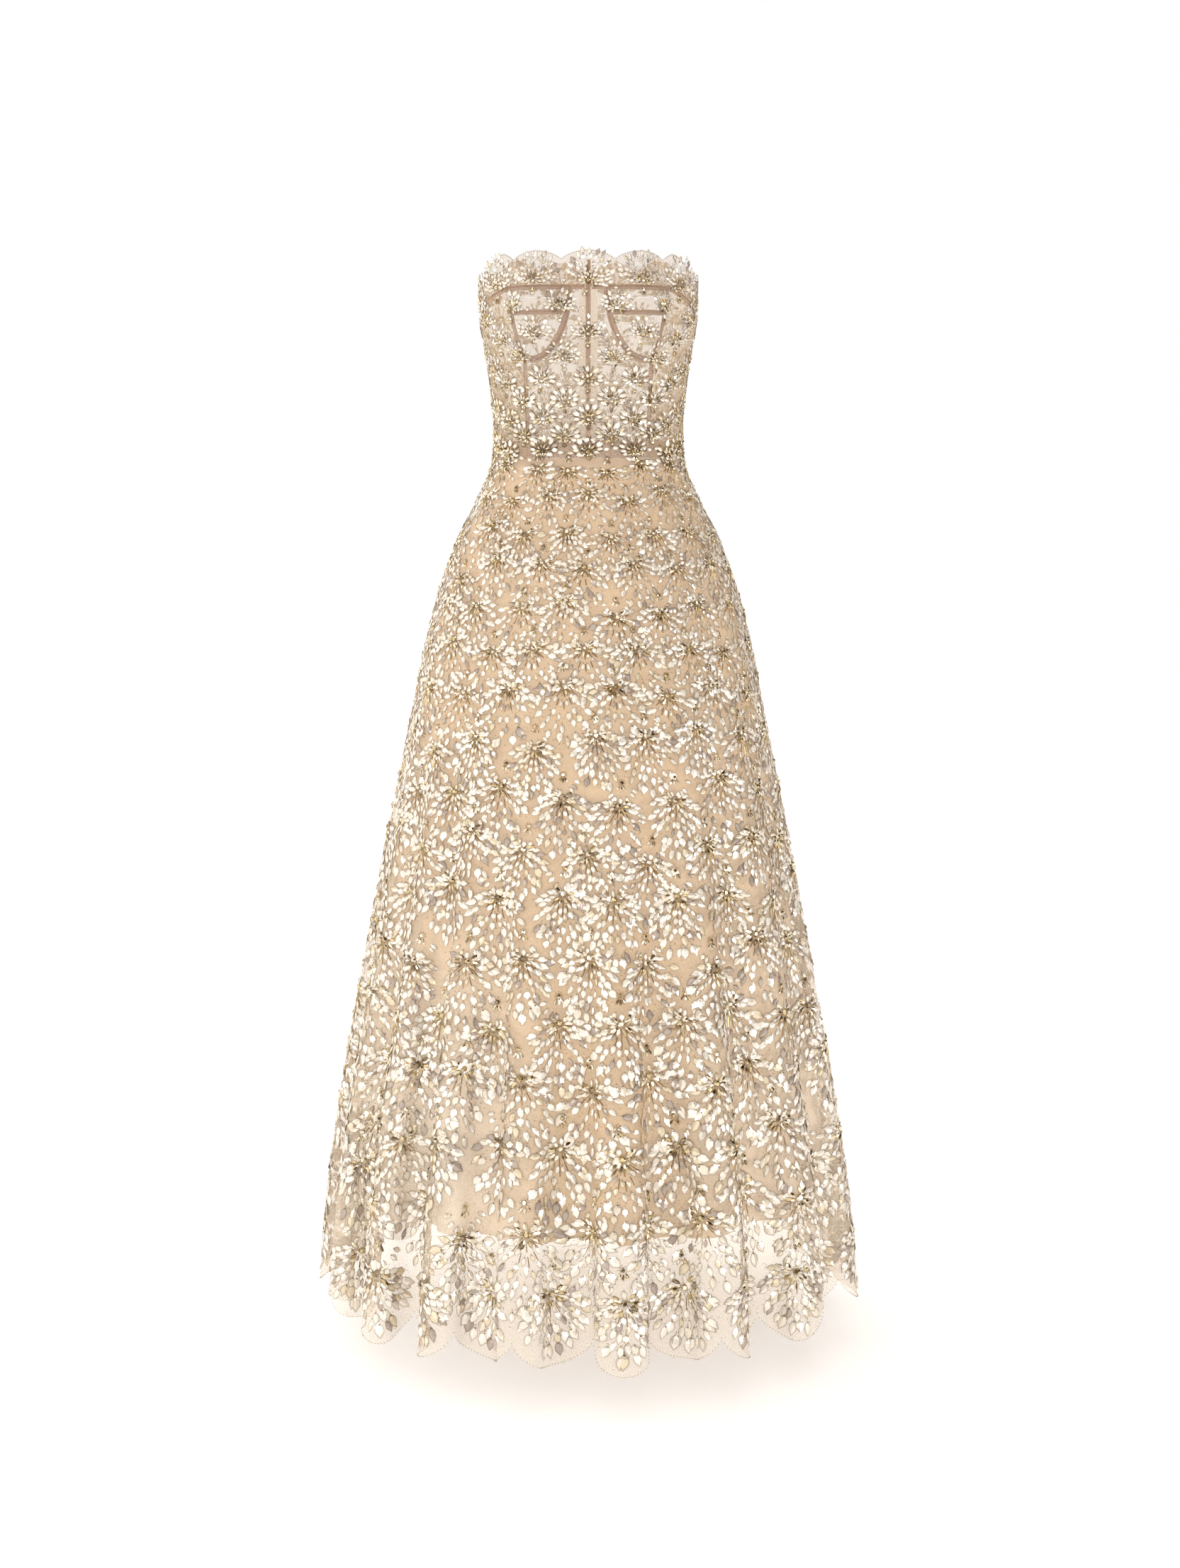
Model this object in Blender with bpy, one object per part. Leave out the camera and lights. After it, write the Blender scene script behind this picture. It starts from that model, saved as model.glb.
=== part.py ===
"""Strapless embroidered evening gown, worn and hollow, at its real size.

Metres, +Z up. The front faces -Y, and +X is to the right of someone who looks at the front.
The origin is the middle of the waist, level with the waist seam, where the wearer holds the gown.
A turn t runs round the body: 0 at the centre front, +90 degrees at the +X side, 180 at the centre back.
"""

import functools
import math

import bmesh
import bpy
import numpy as np

# Cloth and seams
WALL = 0.0012
SEAM = 0.0003
HALF_SEAM = SEAM / 2
CUP_SEAM = 0.0004
HALF_CUP_SEAM = CUP_SEAM / 2
UNDER_CLOTH = 0.0020
UNDER_CUP = 0.0026

# Heights, from the waist seam
NECK_VALLEY_Z = 0.2345
NECK_LOBE = 0.0108
NECK_LOBES = 13
BAND_SEAM_Z = 0.2020
# Both edges of the neckline band dip under the arms, from the princess seam on.
NECK_DIP = 0.033
NECK_DIP_SHARPNESS = 1.3
BAND_DIP = 0.030
UPPER_CUP_Z = 0.1718
UNDERBUST_Z = 0.1155
WAISTBAND_TOP = 0.0200
LINING_HEM_Z = -0.925
HEM_VALLEY_Z = -1.034
HEM_LOBE = 0.034
HEM_LOBES = 24
# Under 1 makes the valleys between the lobes of a scalloped edge sharp, and the lobes broad.
LOBE_SHARPNESS = 0.7

# The body of the gown: half of its width, and how far its front and back stand from the middle.
# fold is how deep the skirt's soft folds are there, from the middle of the cloth to a crest.
SHAPE_COLUMNS = ("z", "half_width", "front", "back", "fold")
SHAPE = (
    (0.246, 0.1345, 0.100, 0.101, 0.0),
    (0.212, 0.1345, 0.103, 0.103, 0.0),
    (0.170, 0.1335, 0.104, 0.102, 0.0),
    (0.127, 0.1265, 0.100, 0.097, 0.0),
    (0.075, 0.1195, 0.094, 0.091, 0.0),
    (0.040, 0.1165, 0.090, 0.088, 0.0),
    (0.000, 0.1185, 0.090, 0.089, 0.0),
    (-0.050, 0.1370, 0.106, 0.111, 0.0),
    (-0.100, 0.1630, 0.124, 0.136, 0.0),
    (-0.200, 0.1965, 0.150, 0.168, 0.0),
    (-0.320, 0.2220, 0.176, 0.194, 0.001),
    (-0.460, 0.2490, 0.203, 0.219, 0.004),
    (-0.620, 0.2755, 0.230, 0.243, 0.009),
    (-0.780, 0.3005, 0.256, 0.266, 0.014),
    (-0.940, 0.3205, 0.283, 0.290, 0.019),
    (-1.070, 0.3290, 0.302, 0.305, 0.023),
)

# The crests of the skirt's folds round the hem, with each one's share of the fold depth.
FOLD_COLUMNS = ("turn_deg", "share")
FOLDS = (
    (-160, 0.9),
    (-139, 1.0),
    (-115, 0.8),
    (-91, 1.0),
    (-69, 0.9),
    (-50, 1.0),
    (-33, 0.9),
    (-15, 0.8),
    (7, 1.0),
    (29, 1.1),
    (54, 0.9),
    (79, 1.0),
    (103, 0.8),
    (127, 1.0),
    (151, 0.9),
    (174, 1.0),
)
# How far a fold's sides roll under, against its depth.
FOLD_ROLL = 0.40
RING_POINTS = 1441
# An edge that leaves room for a seam or the zip moves this many columns of points with it.
EDGE_COLUMNS = 4
NET_LEVELS = (-HALF_SEAM, -0.05, -0.10, -0.15, -0.26, -0.42, -0.62, -0.82, -0.99)

# The lining has shallower folds, and hangs further in where the net's folds are deep.
LINING_COLUMNS = 72
LINING_LEVELS = (-HALF_SEAM, -0.06, -0.15, -0.34, -0.62)
LINING_FOLD_SHARE = 0.6
LINING_INSET = 0.0030
LINING_DROP_IN = 0.006
LINING_FALL = 0.06
LINING_FOLD_ROOM = 0.5
LINING_ZIP_GAP = 0.0010

# Cups: the seam along the wire is a quarter of a rounded ellipse, from the side seam of the
# cup up to the neckline band.
WIRE_FOOT_X = 0.0779
WIRE_TOP_X = 0.0215
WIRE_ROUNDNESS = 2.45
WIRE_TURNS = (3, 14, 28, 43, 58, 74, 82, 90)
UPPER_CUP_ROW = WIRE_TURNS.index(74)
CUP_MIDDLE = (0.060, 0.152)
CUP_HALF_WIDTH = 0.043
CUP_DOWN = 0.0375
CUP_UP = 0.090
CUP_DEPTH = 0.021
CUP_SOFTNESS = 1.5
# How far a cup's bulge also leans to its own side.
CUP_SPREAD = 0.25

# The princess seam runs from the waist, past the foot of the wire, to the neckline band.
PRINCESS_COLUMNS = ("z", "x")
PRINCESS = (
    (0.0, 0.0740),
    (0.0205, 0.0745),
    (UNDERBUST_Z, WIRE_FOOT_X),
    (UPPER_CUP_Z, 0.0935),
    (BAND_SEAM_Z, 0.1000),
)
BACK_SEAM_TURN = math.radians(137)
SIDE_TURN = math.pi / 2
# Turns a gap along the cloth of the bodice into an angle.
BODICE_RADIUS = 0.09

# Casings and tapes inside the bodice
CASING_HALF = 0.0030
CASING_THICK = 0.0010
CASING_TOP_Z = 0.2335
CASING_WIRE_TURNS = (16, 28, 40, 52, 64, 76)
CUP_TAPE_CLEAR = 0.0008
NECK_TAPE_START_X = 0.0040
NECK_TAPE_POINTS = 11
RIBBON_THICK = 0.0015
RIBBON_POINTS = 45

# Concealed zip at the centre back
ZIP_SLOT_HALF = 0.0009
ZIP_TAPE_HALF = 0.0120
ZIP_TAPE_THICK = 0.0008
ZIP_ROWS = (-0.15, -0.10, -0.05, 0.0, 0.030, 0.060, 0.095, 0.130, 0.165, 0.2020, 0.2237, 0.2330)
COIL_HALF = 0.0016
COIL_THICK = 0.0014
SLIDER_LOW = 0.2240
SLIDER_GAP = 0.0006
SLIDER_HIGH = 0.2330
SLIDER_HALF = 0.0034
SLIDER_NECK_HALF = 0.0006
SLIDER_BACK = 0.0014
CROWN_HALF = 0.0021
CROWN_GAP = 0.0004
CROWN_THICK = 0.0010
BRIDGE_HALF = 0.0008
BRIDGE_BAR = 0.0009
BRIDGE_HOLE_HIGH = 0.0022
BRIDGE_HOLE_DEEP = 0.0020
BRIDGE_SINK = 0.0003
HINGE_Z = 0.2296
PULL_THICK = 0.0010
PULL_BAR = 0.0011
PULL_WINDOW = 0.0036
PULL_WINDOW_HALF = 0.0015
PULL_TOP_HALF = 0.0026
PULL_NECK_Z = -0.0080
PULL_NECK_HALF = 0.0019
PULL_ROUND_Z = -0.0190
PULL_ROUND = 0.0034


def column(rows, names, name):
    return [row[names.index(name)] for row in rows]


def smooth(z, heights, values):
    """A smooth line through a column of the table, with no bump between its rows."""
    order = np.argsort(heights)
    h = np.array(heights, float)[order]
    v = np.array(values, float)[order]
    steps = np.diff(v) / np.diff(h)
    slopes = np.zeros(len(h))
    slopes[0], slopes[-1] = steps[0], steps[-1]
    same_way = steps[1:] * steps[:-1] > 0
    product = 2 * steps[1:] * steps[:-1]
    total = np.where(same_way, steps[1:] + steps[:-1], 1)
    slopes[1:-1] = np.where(same_way, product / total, 0)
    z = np.clip(z, h[0], h[-1])
    i = np.clip(np.searchsorted(h, z) - 1, 0, len(h) - 2)
    span = h[i + 1] - h[i]
    k = (z - h[i]) / span
    rise = v[i] * (1 + 2 * k) * (1 - k) ** 2 + v[i + 1] * k**2 * (3 - 2 * k)
    lean = slopes[i] * k * (1 - k) ** 2 - slopes[i + 1] * k**2 * (1 - k)
    return rise + lean * span


def shape(name, z):
    return smooth(z, column(SHAPE, SHAPE_COLUMNS, "z"), column(SHAPE, SHAPE_COLUMNS, name))


def cup_bulge(x, z):
    """How far a cup stands out of the bodice, which ends in a soft crease along its wire."""
    middle_x, middle_z = CUP_MIDDLE
    across = np.abs(np.abs(x) - middle_x) / CUP_HALF_WIDTH
    reach = np.where(z < middle_z, CUP_DOWN, CUP_UP)
    along = np.abs(z - middle_z) / reach
    left = np.clip(1 - across**WIRE_ROUNDNESS - along**WIRE_ROUNDNESS, 0, 1)
    return CUP_DEPTH * left**CUP_SOFTNESS


def bodice(t, z):
    """The outer face of the bodice at turn t (radians) and height z."""
    t, z = np.broadcast_arrays(np.asarray(t, float), np.asarray(z, float))
    x = shape("half_width", z) * np.sin(t)
    front = np.cos(t) > 0
    y = -np.where(front, shape("front", z), shape("back", z)) * np.cos(t)
    bulge = np.where(front, cup_bulge(x, z), 0)
    return np.stack([x + CUP_SPREAD * bulge * np.sign(x), y - bulge, z], axis=-1)


def bodice_out(t, z):
    """The bodice's outward direction."""
    step = 1e-4
    around = bodice(t + step, z) - bodice(t - step, z)
    up = bodice(t, z + step) - bodice(t, z - step)
    out = np.cross(around, up)
    return out / np.linalg.norm(out, axis=-1, keepdims=True)


def turn_at(x, z):
    """The turn of a point on the front that is x from the middle."""
    return np.arcsin(np.clip(x / shape("half_width", z), -1, 1))


def princess_x(z):
    return np.interp(z, column(PRINCESS, PRINCESS_COLUMNS, "z"), column(PRINCESS, PRINCESS_COLUMNS, "x"))


def wire_points(turns_deg, outward=0.0):
    """(x, z) along the seam under a cup, moved outward from the cup."""
    turns = np.radians(turns_deg)
    wide = WIRE_FOOT_X - WIRE_TOP_X + outward
    deep = BAND_SEAM_Z - UNDERBUST_Z + outward
    x = WIRE_FOOT_X - wide * np.sin(turns) ** (2 / WIRE_ROUNDNESS)
    z = BAND_SEAM_Z - deep * np.abs(np.cos(turns)) ** (2 / WIRE_ROUNDNESS)
    return np.stack([x, z], axis=-1)


def neck_z(t):
    """The scalloped top edge, with a lobe at the centre front and a valley at the back."""
    lobe = NECK_LOBE * np.abs(np.cos(NECK_LOBES * t / 2)) ** LOBE_SHARPNESS
    start = princess_x(BAND_SEAM_Z) / shape("half_width", BAND_SEAM_Z)
    aside = np.clip((np.abs(np.sin(t)) - start) / (1 - start), 0, 1)
    return NECK_VALLEY_Z + lobe - NECK_DIP * aside**NECK_DIP_SHARPNESS


def band_z(t):
    """The seam under the neckline band: level over the cups and the back, and straight between
    the tops of the seams on each side of the dip."""
    start = turn_at(princess_x(BAND_SEAM_Z), BAND_SEAM_Z)
    return BAND_SEAM_Z - np.interp(np.abs(t), (start, SIDE_TURN, BACK_SEAM_TURN), (0, BAND_DIP, 0))


@functools.lru_cache(maxsize=None)
def skirt_ring(z, fold_share, inset):
    """One level of a skirt: points round it, with how much cloth lies between each and the
    centre front, as a share of the cloth from the front to the back."""
    crests = column(FOLDS, FOLD_COLUMNS, "turn_deg")
    shares = column(FOLDS, FOLD_COLUMNS, "share")
    crests = [crests[-1] - 360] + crests + [crests[0] + 360]
    shares = [shares[-1]] + shares + [shares[0]]
    t = np.linspace(-180, 180, RING_POINTS)
    wave = np.interp(t, crests, 2 * math.pi * np.arange(len(crests)))
    depth = shape("fold", z) * fold_share * np.interp(t, crests, shares)
    t = np.radians(t)
    wide = shape("half_width", z)
    deep = np.where(np.cos(t) > 0, shape("front", z), shape("back", z))
    base = np.stack([wide * np.sin(t), -deep * np.cos(t)], axis=-1)
    along = np.stack([wide * np.cos(t), deep * np.sin(t)], axis=-1)
    along /= np.linalg.norm(along, axis=-1, keepdims=True)
    out = np.stack([along[:, 1], -along[:, 0]], axis=-1)
    push = depth * np.cos(wave) - inset
    slide = FOLD_ROLL * depth * np.sin(2 * wave)
    points = base + out * push[:, None] + along * slide[:, None]
    lengths = np.concatenate([[0], np.cumsum(np.linalg.norm(np.diff(points, axis=0), axis=1))])
    middle = len(t) // 2
    cloth = lengths - lengths[middle]
    cloth = np.where(cloth < 0, cloth / lengths[middle], cloth / (lengths[-1] - lengths[middle]))
    return points, cloth


def skirt(share, z, fold_share=1.0, inset=0.0):
    """A point of a skirt's outer face. share is 0 at the centre front, and -1 or 1 at the back."""
    points, cloth = skirt_ring(round(float(z), 6), fold_share, inset)
    share = (share + 1) % 2 - 1 if abs(share) > 1 else share
    return (np.interp(share, cloth, points[:, 0]), np.interp(share, cloth, points[:, 1]), z)


def hem_z(share):
    """The scalloped hem, with a valley at the centre front, each side and the centre back."""
    return HEM_VALLEY_Z - HEM_LOBE * abs(math.sin(HEM_LOBES * share * math.pi / 2)) ** LOBE_SHARPNESS


def material(name, colour, roughness, metallic=0.0):
    made = bpy.data.materials.new(name)
    made.use_nodes = True
    shader = made.node_tree.nodes["Principled BSDF"]
    shader.inputs["Base Color"].default_value = (*colour, 1)
    shader.inputs["Roughness"].default_value = roughness
    shader.inputs["Metallic"].default_value = metallic
    made.diffuse_color = (*colour, 1)
    return made


def add(name, bm, finish, parent):
    """An object from a bmesh, with its faces turned outwards."""
    bmesh.ops.recalc_face_normals(bm, faces=bm.faces)
    if bm.calc_volume(signed=True) < 0:
        bmesh.ops.reverse_faces(bm, faces=bm.faces)
    mesh = bpy.data.meshes.new(name)
    bm.to_mesh(mesh)
    bm.free()
    mesh.materials.append(finish)
    piece = bpy.data.objects.new(name, mesh)
    piece.parent = parent
    bpy.context.scene.collection.objects.link(piece)
    return piece


def wall(name, outer, inner, finish, parent):
    """Cloth between two grids of points: a flat grid is placed on the outer one, and its
    faces are extruded to the inner one."""
    rows, columns = outer.shape[:2]
    bm = bmesh.new()
    place = bm.verts.layers.int.new("place")
    bmesh.ops.create_grid(bm, x_segments=columns - 1, y_segments=rows - 1, size=1)
    for vert in bm.verts:
        column_number = round((vert.co.x + 1) / 2 * (columns - 1))
        row_number = round((vert.co.y + 1) / 2 * (rows - 1))
        vert[place] = row_number * columns + column_number
    outer_verts = list(bm.verts)
    made = bmesh.ops.extrude_face_region(bm, geom=bm.faces[:], use_keep_orig=True)
    inner_verts = [item for item in made["geom"] if isinstance(item, bmesh.types.BMVert)]
    for verts, points in ((outer_verts, outer), (inner_verts, inner)):
        flat = points.reshape(-1, 3)
        for vert in verts:
            vert.co = flat[vert[place]]
    bm.verts.layers.int.remove(bm.verts.layers.int["place"])
    piece = add(name, bm, finish, parent)
    piece.data.shade_smooth()
    piece.data.set_sharp_from_angle(angle=math.radians(40))
    return piece


def bodice_wall(name, t, z, finish, parent, near=0.0, thick=WALL):
    """Cloth on the bodice's own face, or under it, at grids of turns and heights."""
    face = bodice(t, z)
    out = bodice_out(t, z)
    return wall(name, face - out * near, face - out * (near + thick), finish, parent)


def between(left, right, columns):
    """Grids of turns and heights, from one list of (turn, z) to another."""
    left, right = np.array(left, float), np.array(right, float)
    k = np.linspace(0, 1, columns + 1)[None, :, None]
    grid = left[:, None] * (1 - k) + right[:, None] * k
    return grid[..., 0], grid[..., 1]


def front_edge(points):
    """(turn, z) of points given as (x, z) on the front."""
    return [(turn_at(x, z), z) for x, z in points]


def edge_beside(edge, gap_x, low, high):
    """A straight edge at gap_x from the centre front, with its rows spaced as another edge's."""
    points = bodice(*np.array(edge).T)
    lengths = np.concatenate([[0], np.cumsum(np.linalg.norm(np.diff(points, axis=0), axis=1))])
    return front_edge([(gap_x, low + (high - low) * k) for k in lengths / lengths[-1]])


def mirrored(edge):
    return [(-t, z) for t, z in edge]


def bodice_panels(parent):
    """The cut pieces of the bodice, each side from one set of seams."""
    low = HALF_SEAM
    high = BAND_SEAM_Z - HALF_CUP_SEAM
    lower_z = (low, 0.030, 0.060, 0.090, UNDERBUST_Z - HALF_SEAM)
    princess = [(princess_x(z) - HALF_SEAM, z) for z in lower_z]
    outside_wire = wire_points(WIRE_TURNS, HALF_CUP_SEAM)
    outside_wire[-1, 1] = high
    centre_right = front_edge([*princess, *outside_wire])
    centre_left = edge_beside(centre_right, HALF_SEAM, low, high)

    inside_wire = wire_points(WIRE_TURNS, -HALF_CUP_SEAM)
    inside_wire[-1, 1] = high
    lower_cup_wire = inside_wire[: UPPER_CUP_ROW + 1].copy()
    lower_cup_wire[-1, 1] = UPPER_CUP_Z - HALF_SEAM
    upper_cup_wire = inside_wire[UPPER_CUP_ROW:].copy()
    upper_cup_wire[0, 1] = UPPER_CUP_Z + HALF_SEAM

    side_z = (low, 0.030, 0.060, 0.090, UNDERBUST_Z, 0.135, 0.150, UPPER_CUP_Z, high)
    side_left = front_edge([(princess_x(z) + HALF_SEAM, z) for z in side_z])
    back_z = (low, 0.030, 0.060, 0.095, 0.130, 0.165, high)

    def straight(turn, heights, toward):
        """An edge along one turn, moved along the cloth by half a seam."""
        return [(turn + toward * HALF_SEAM / BODICE_RADIUS, z) for z in heights]

    def dipped(heights):
        """The same rows of a panel at its side seam, where the band's seam dips."""
        share = (float(band_z(SIDE_TURN)) - HALF_CUP_SEAM - low) / (high - low)
        return [low + (z - low) * share for z in heights]

    def cup_side(edge):
        return front_edge([(princess_x(z) - HALF_SEAM, z) for _, z in edge])

    def zip_edge(heights):
        return [(math.pi - ZIP_SLOT_HALF / shape("half_width", z), z) for z in heights]

    side_right = straight(SIDE_TURN, dipped(side_z), -1)
    side_back = (straight(SIDE_TURN, dipped(back_z), 1), straight(BACK_SEAM_TURN, back_z, -1))
    back = (straight(BACK_SEAM_TURN, back_z, 1), zip_edge(back_z))
    for side, flip in (("right", lambda edge: edge), ("left", mirrored)):
        # Each piece has a left and a right edge, and a number of faces from one to the other.
        pieces = (
            ("centre_front", centre_left, centre_right, 7, SHEER),
            ("lower_cup", front_edge(lower_cup_wire), cup_side(lower_cup_wire), 7, SHEER),
            ("upper_cup", front_edge(upper_cup_wire), cup_side(upper_cup_wire), 7, SHEER),
            ("side_front", side_left, side_right, 6, SIDE_MESH),
            ("side_back", *side_back, 5, SIDE_MESH),
            ("back", *back, 5, SIDE_MESH),
        )
        for piece, left, right, columns, finish in pieces:
            t, z = between(flip(left), flip(right), columns)
            bodice_wall(f"bodice_{piece}_{side}", t, z, finish, parent)


def neckline_bands(parent):
    """The scalloped band above the cups, in a front and a back piece for each side."""
    per_lobe = 5
    half_seam = HALF_SEAM / BODICE_RADIUS
    half_slot = ZIP_SLOT_HALF / shape("half_width", BAND_SEAM_Z)
    # Each piece runs between two turns, and its lower edge has a corner at a third.
    runs = (
        ("front", half_seam, SIDE_TURN - half_seam, turn_at(princess_x(BAND_SEAM_Z), BAND_SEAM_Z)),
        ("back", SIDE_TURN + half_seam, math.pi - half_slot, BACK_SEAM_TURN),
    )
    for side, way in (("right", 1), ("left", -1)):
        for piece, near, far, corner in runs:
            turns = np.linspace(near, far, round(NECK_LOBES / 4 * per_lobe) + 1)
            turns = np.unique(np.append(turns, corner))
            top = neck_z(turns)
            bottom = band_z(turns) + HALF_CUP_SEAM
            rows = np.array([0.0, 0.5, 1.0])[:, None]
            z = bottom + (top - bottom) * rows
            t = np.broadcast_to(turns * way, z.shape)
            bodice_wall(f"neckline_band_{piece}_{side}", t, z, SHEER, parent)


def tape(name, path, parent, finish, near=UNDER_CLOTH, half=CASING_HALF, thick=CASING_THICK):
    """A strip under the bodice's cloth that follows a path of (turn, z)."""
    path = np.array(path, float)
    wide = shape("half_width", path[:, 1])
    flat = np.stack([path[:, 0] * wide, path[:, 1]], axis=-1)
    run = np.gradient(flat, axis=0)
    run /= np.linalg.norm(run, axis=-1, keepdims=True)
    aside = np.stack([-run[:, 1], run[:, 0]], axis=-1)
    offsets = np.array([-half, half])[None, :, None]
    grid = flat[:, None] + aside[:, None] * offsets
    bodice_wall(name, grid[..., 0] / wide[:, None], grid[..., 1], finish, parent, near, thick)


def casings(parent):
    """Boning casings and seam tapes, which show through the sheer cloth as darker lines."""
    gap = CASING_HALF + SEAM
    above_ribbon = WAISTBAND_TOP + SEAM
    centre = [(0, z) for z in np.linspace(above_ribbon, CASING_TOP_Z, 9)]
    tape("casing_centre_front", centre, parent, CASING)
    for side, way in (("right", 1), ("left", -1)):
        heights = (above_ribbon, 0.050, 0.085, UNDERBUST_Z, 0.135, 0.155, UPPER_CUP_Z + CASING_HALF)
        princess = front_edge([(princess_x(z), z) for z in heights])
        wire = front_edge(wire_points(CASING_WIRE_TURNS))
        wire.append(front_edge([(WIRE_TOP_X, BAND_SEAM_Z - gap)])[0])
        inner_x = wire_points([WIRE_TURNS[UPPER_CUP_ROW]])[0][0] + gap + CUP_TAPE_CLEAR
        outer_x = princess_x(UPPER_CUP_Z) - gap
        cup = front_edge([(x, UPPER_CUP_Z) for x in np.linspace(inner_x, outer_x, 6)])
        band_start = turn_at(NECK_TAPE_START_X, BAND_SEAM_Z)
        band_turns = np.linspace(band_start, SIDE_TURN, NECK_TAPE_POINTS)
        band = [(t, float(band_z(t))) for t in band_turns]
        runs = (
            ("casing_princess", princess),
            ("casing_wire", wire),
            ("tape_upper_cup", cup),
            ("tape_neckline", band),
        )
        for name, path in runs:
            if way < 0:
                path = mirrored(path)[::-1]
            tape(f"{name}_{side}", path, parent, CASING, UNDER_CUP)


def waistband(parent):
    """The ribbon inside the waist, which ends at each side of the zip."""
    end = math.pi - (ZIP_TAPE_HALF + SEAM * 2) / shape("half_width", WAISTBAND_TOP)
    turns = np.linspace(-end, end, RIBBON_POINTS)
    z = np.array([SEAM, WAISTBAND_TOP])[:, None] + 0 * turns
    t = np.broadcast_to(turns, z.shape)
    bodice_wall("waistband", t, z, CASING, parent, UNDER_CLOTH, RIBBON_THICK)


def skirt_grid(columns, levels, hem, fold_share, inset):
    """Rows of points round a skirt, from the waist to the hem, starting at the back."""
    shares = np.arange(columns) * 2 / columns - 1
    rows = [[skirt(s, z, fold_share, inset(z)) for s in shares] for z in levels]
    rows.append([skirt(s, hem(s), fold_share, inset(hem(s))) for s in shares])
    return np.array(rows)


def moved_in(row, gap):
    """A row of points and normals, with its first point moved along the cloth by gap, and the
    few beside it moved less."""
    lengths = np.linalg.norm(np.diff(row[:, :3], axis=0), axis=1)
    lengths = np.concatenate([[0], np.cumsum(lengths)])
    share = np.clip(1 - np.arange(len(row)) / EDGE_COLUMNS, 0, 1)
    return np.stack([np.interp(lengths + gap * share, lengths, values) for values in row.T], axis=-1)


def skirt_walls(name, grid, finish, parent, slot):
    """Front, back left and back right of one skirt, from one closed ring of points, so that the
    edges of neighbours face each other. slot tells where the back edges leave room for the zip."""
    around = np.roll(grid, -1, axis=1) - np.roll(grid, 1, axis=1)
    up = -np.gradient(grid, axis=0)
    out = np.cross(around, up)
    out /= np.linalg.norm(out, axis=-1, keepdims=True)
    points_and_normals = np.concatenate([grid, out], axis=-1)
    columns = grid.shape[1]
    quarter = columns // 4
    cuts = (
        ("front", quarter, 3 * quarter),
        ("back_right", 3 * quarter, columns),
        ("back_left", 0, quarter),
    )
    for piece, first, last in cuts:
        picked = np.arange(first, last + 1) % columns
        rows = []
        for row in points_and_normals[:, picked]:
            for edge in (first, last):
                centre_back = edge % columns == 0
                row = moved_in(row, slot(row[0, 2]) if centre_back else HALF_SEAM)[::-1]
            rows.append(row)
        face, normal = np.split(np.array(rows), 2, axis=-1)
        wall(f"{name}_{piece}", face, face - normal * WALL, finish, parent)


def skirts(parent):
    def slot(z):
        return ZIP_SLOT_HALF if z > ZIP_ROWS[0] else HALF_SEAM

    def lining_slot(z):
        return ZIP_TAPE_HALF + LINING_ZIP_GAP if z > ZIP_ROWS[0] / 2 else HALF_SEAM

    def lining_inset(z):
        """The lining hangs free of the net, further in where the folds are deep."""
        fall = min(1.0, -z / LINING_FALL)
        return LINING_INSET + LINING_DROP_IN * fall + LINING_FOLD_ROOM * float(shape("fold", z))

    net = skirt_grid(4 * HEM_LOBES, NET_LEVELS, hem_z, 1.0, lambda z: 0.0)
    skirt_walls("skirt_net", net, NET, parent, slot)

    def lining_hem(share):
        return LINING_HEM_Z

    lining = skirt_grid(LINING_COLUMNS, LINING_LEVELS, lining_hem, LINING_FOLD_SHARE, lining_inset)
    skirt_walls("skirt_lining", lining, LINING, parent, lining_slot)


def extruded(name, outline, way, finish, parent):
    """A solid from a flat outline of points, pushed along a vector."""
    bm = bmesh.new()
    face = bm.faces.new([bm.verts.new(point) for point in outline])
    made = bmesh.ops.extrude_face_region(bm, geom=[face], use_keep_orig=True)
    moved = [item for item in made["geom"] if isinstance(item, bmesh.types.BMVert)]
    bmesh.ops.translate(bm, verts=moved, vec=way)
    return add(name, bm, finish, parent)


def combined(piece, operation, helper):
    """The piece with a helper added to it or cut from it. The helper itself isn't built."""
    helper.hide_render = True
    helper.display_type = "WIRE"
    boolean = piece.modifiers.new(operation.lower(), "BOOLEAN")
    boolean.operation = operation
    boolean.object = helper


def zip_tapes(parent):
    """A woven tape on each side of the slot, and the coil that closes it up to the slider."""
    rows = np.array(ZIP_ROWS)
    wide = shape("half_width", rows)
    for side, way in (("right", 1), ("left", -1)):
        turns = [(math.pi - offset / wide) * way for offset in (ZIP_TAPE_HALF, ZIP_SLOT_HALF)]
        t = np.stack(turns, axis=-1)
        z = np.repeat(rows[:, None], 2, axis=1)
        bodice_wall(f"zip_tape_{side}", t, z, TAPE, parent, UNDER_CLOTH, ZIP_TAPE_THICK)
    rows = np.array(ZIP_ROWS[:-1])
    wide = shape("half_width", rows)
    t = np.stack([math.pi + offset / wide for offset in (-COIL_HALF, COIL_HALF)], axis=-1)
    z = np.repeat(rows[:, None], 2, axis=1)
    near = UNDER_CLOTH + ZIP_TAPE_THICK + SEAM
    bodice_wall("zip_coil", t, z, TAPE, parent, near, COIL_THICK)


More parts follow.
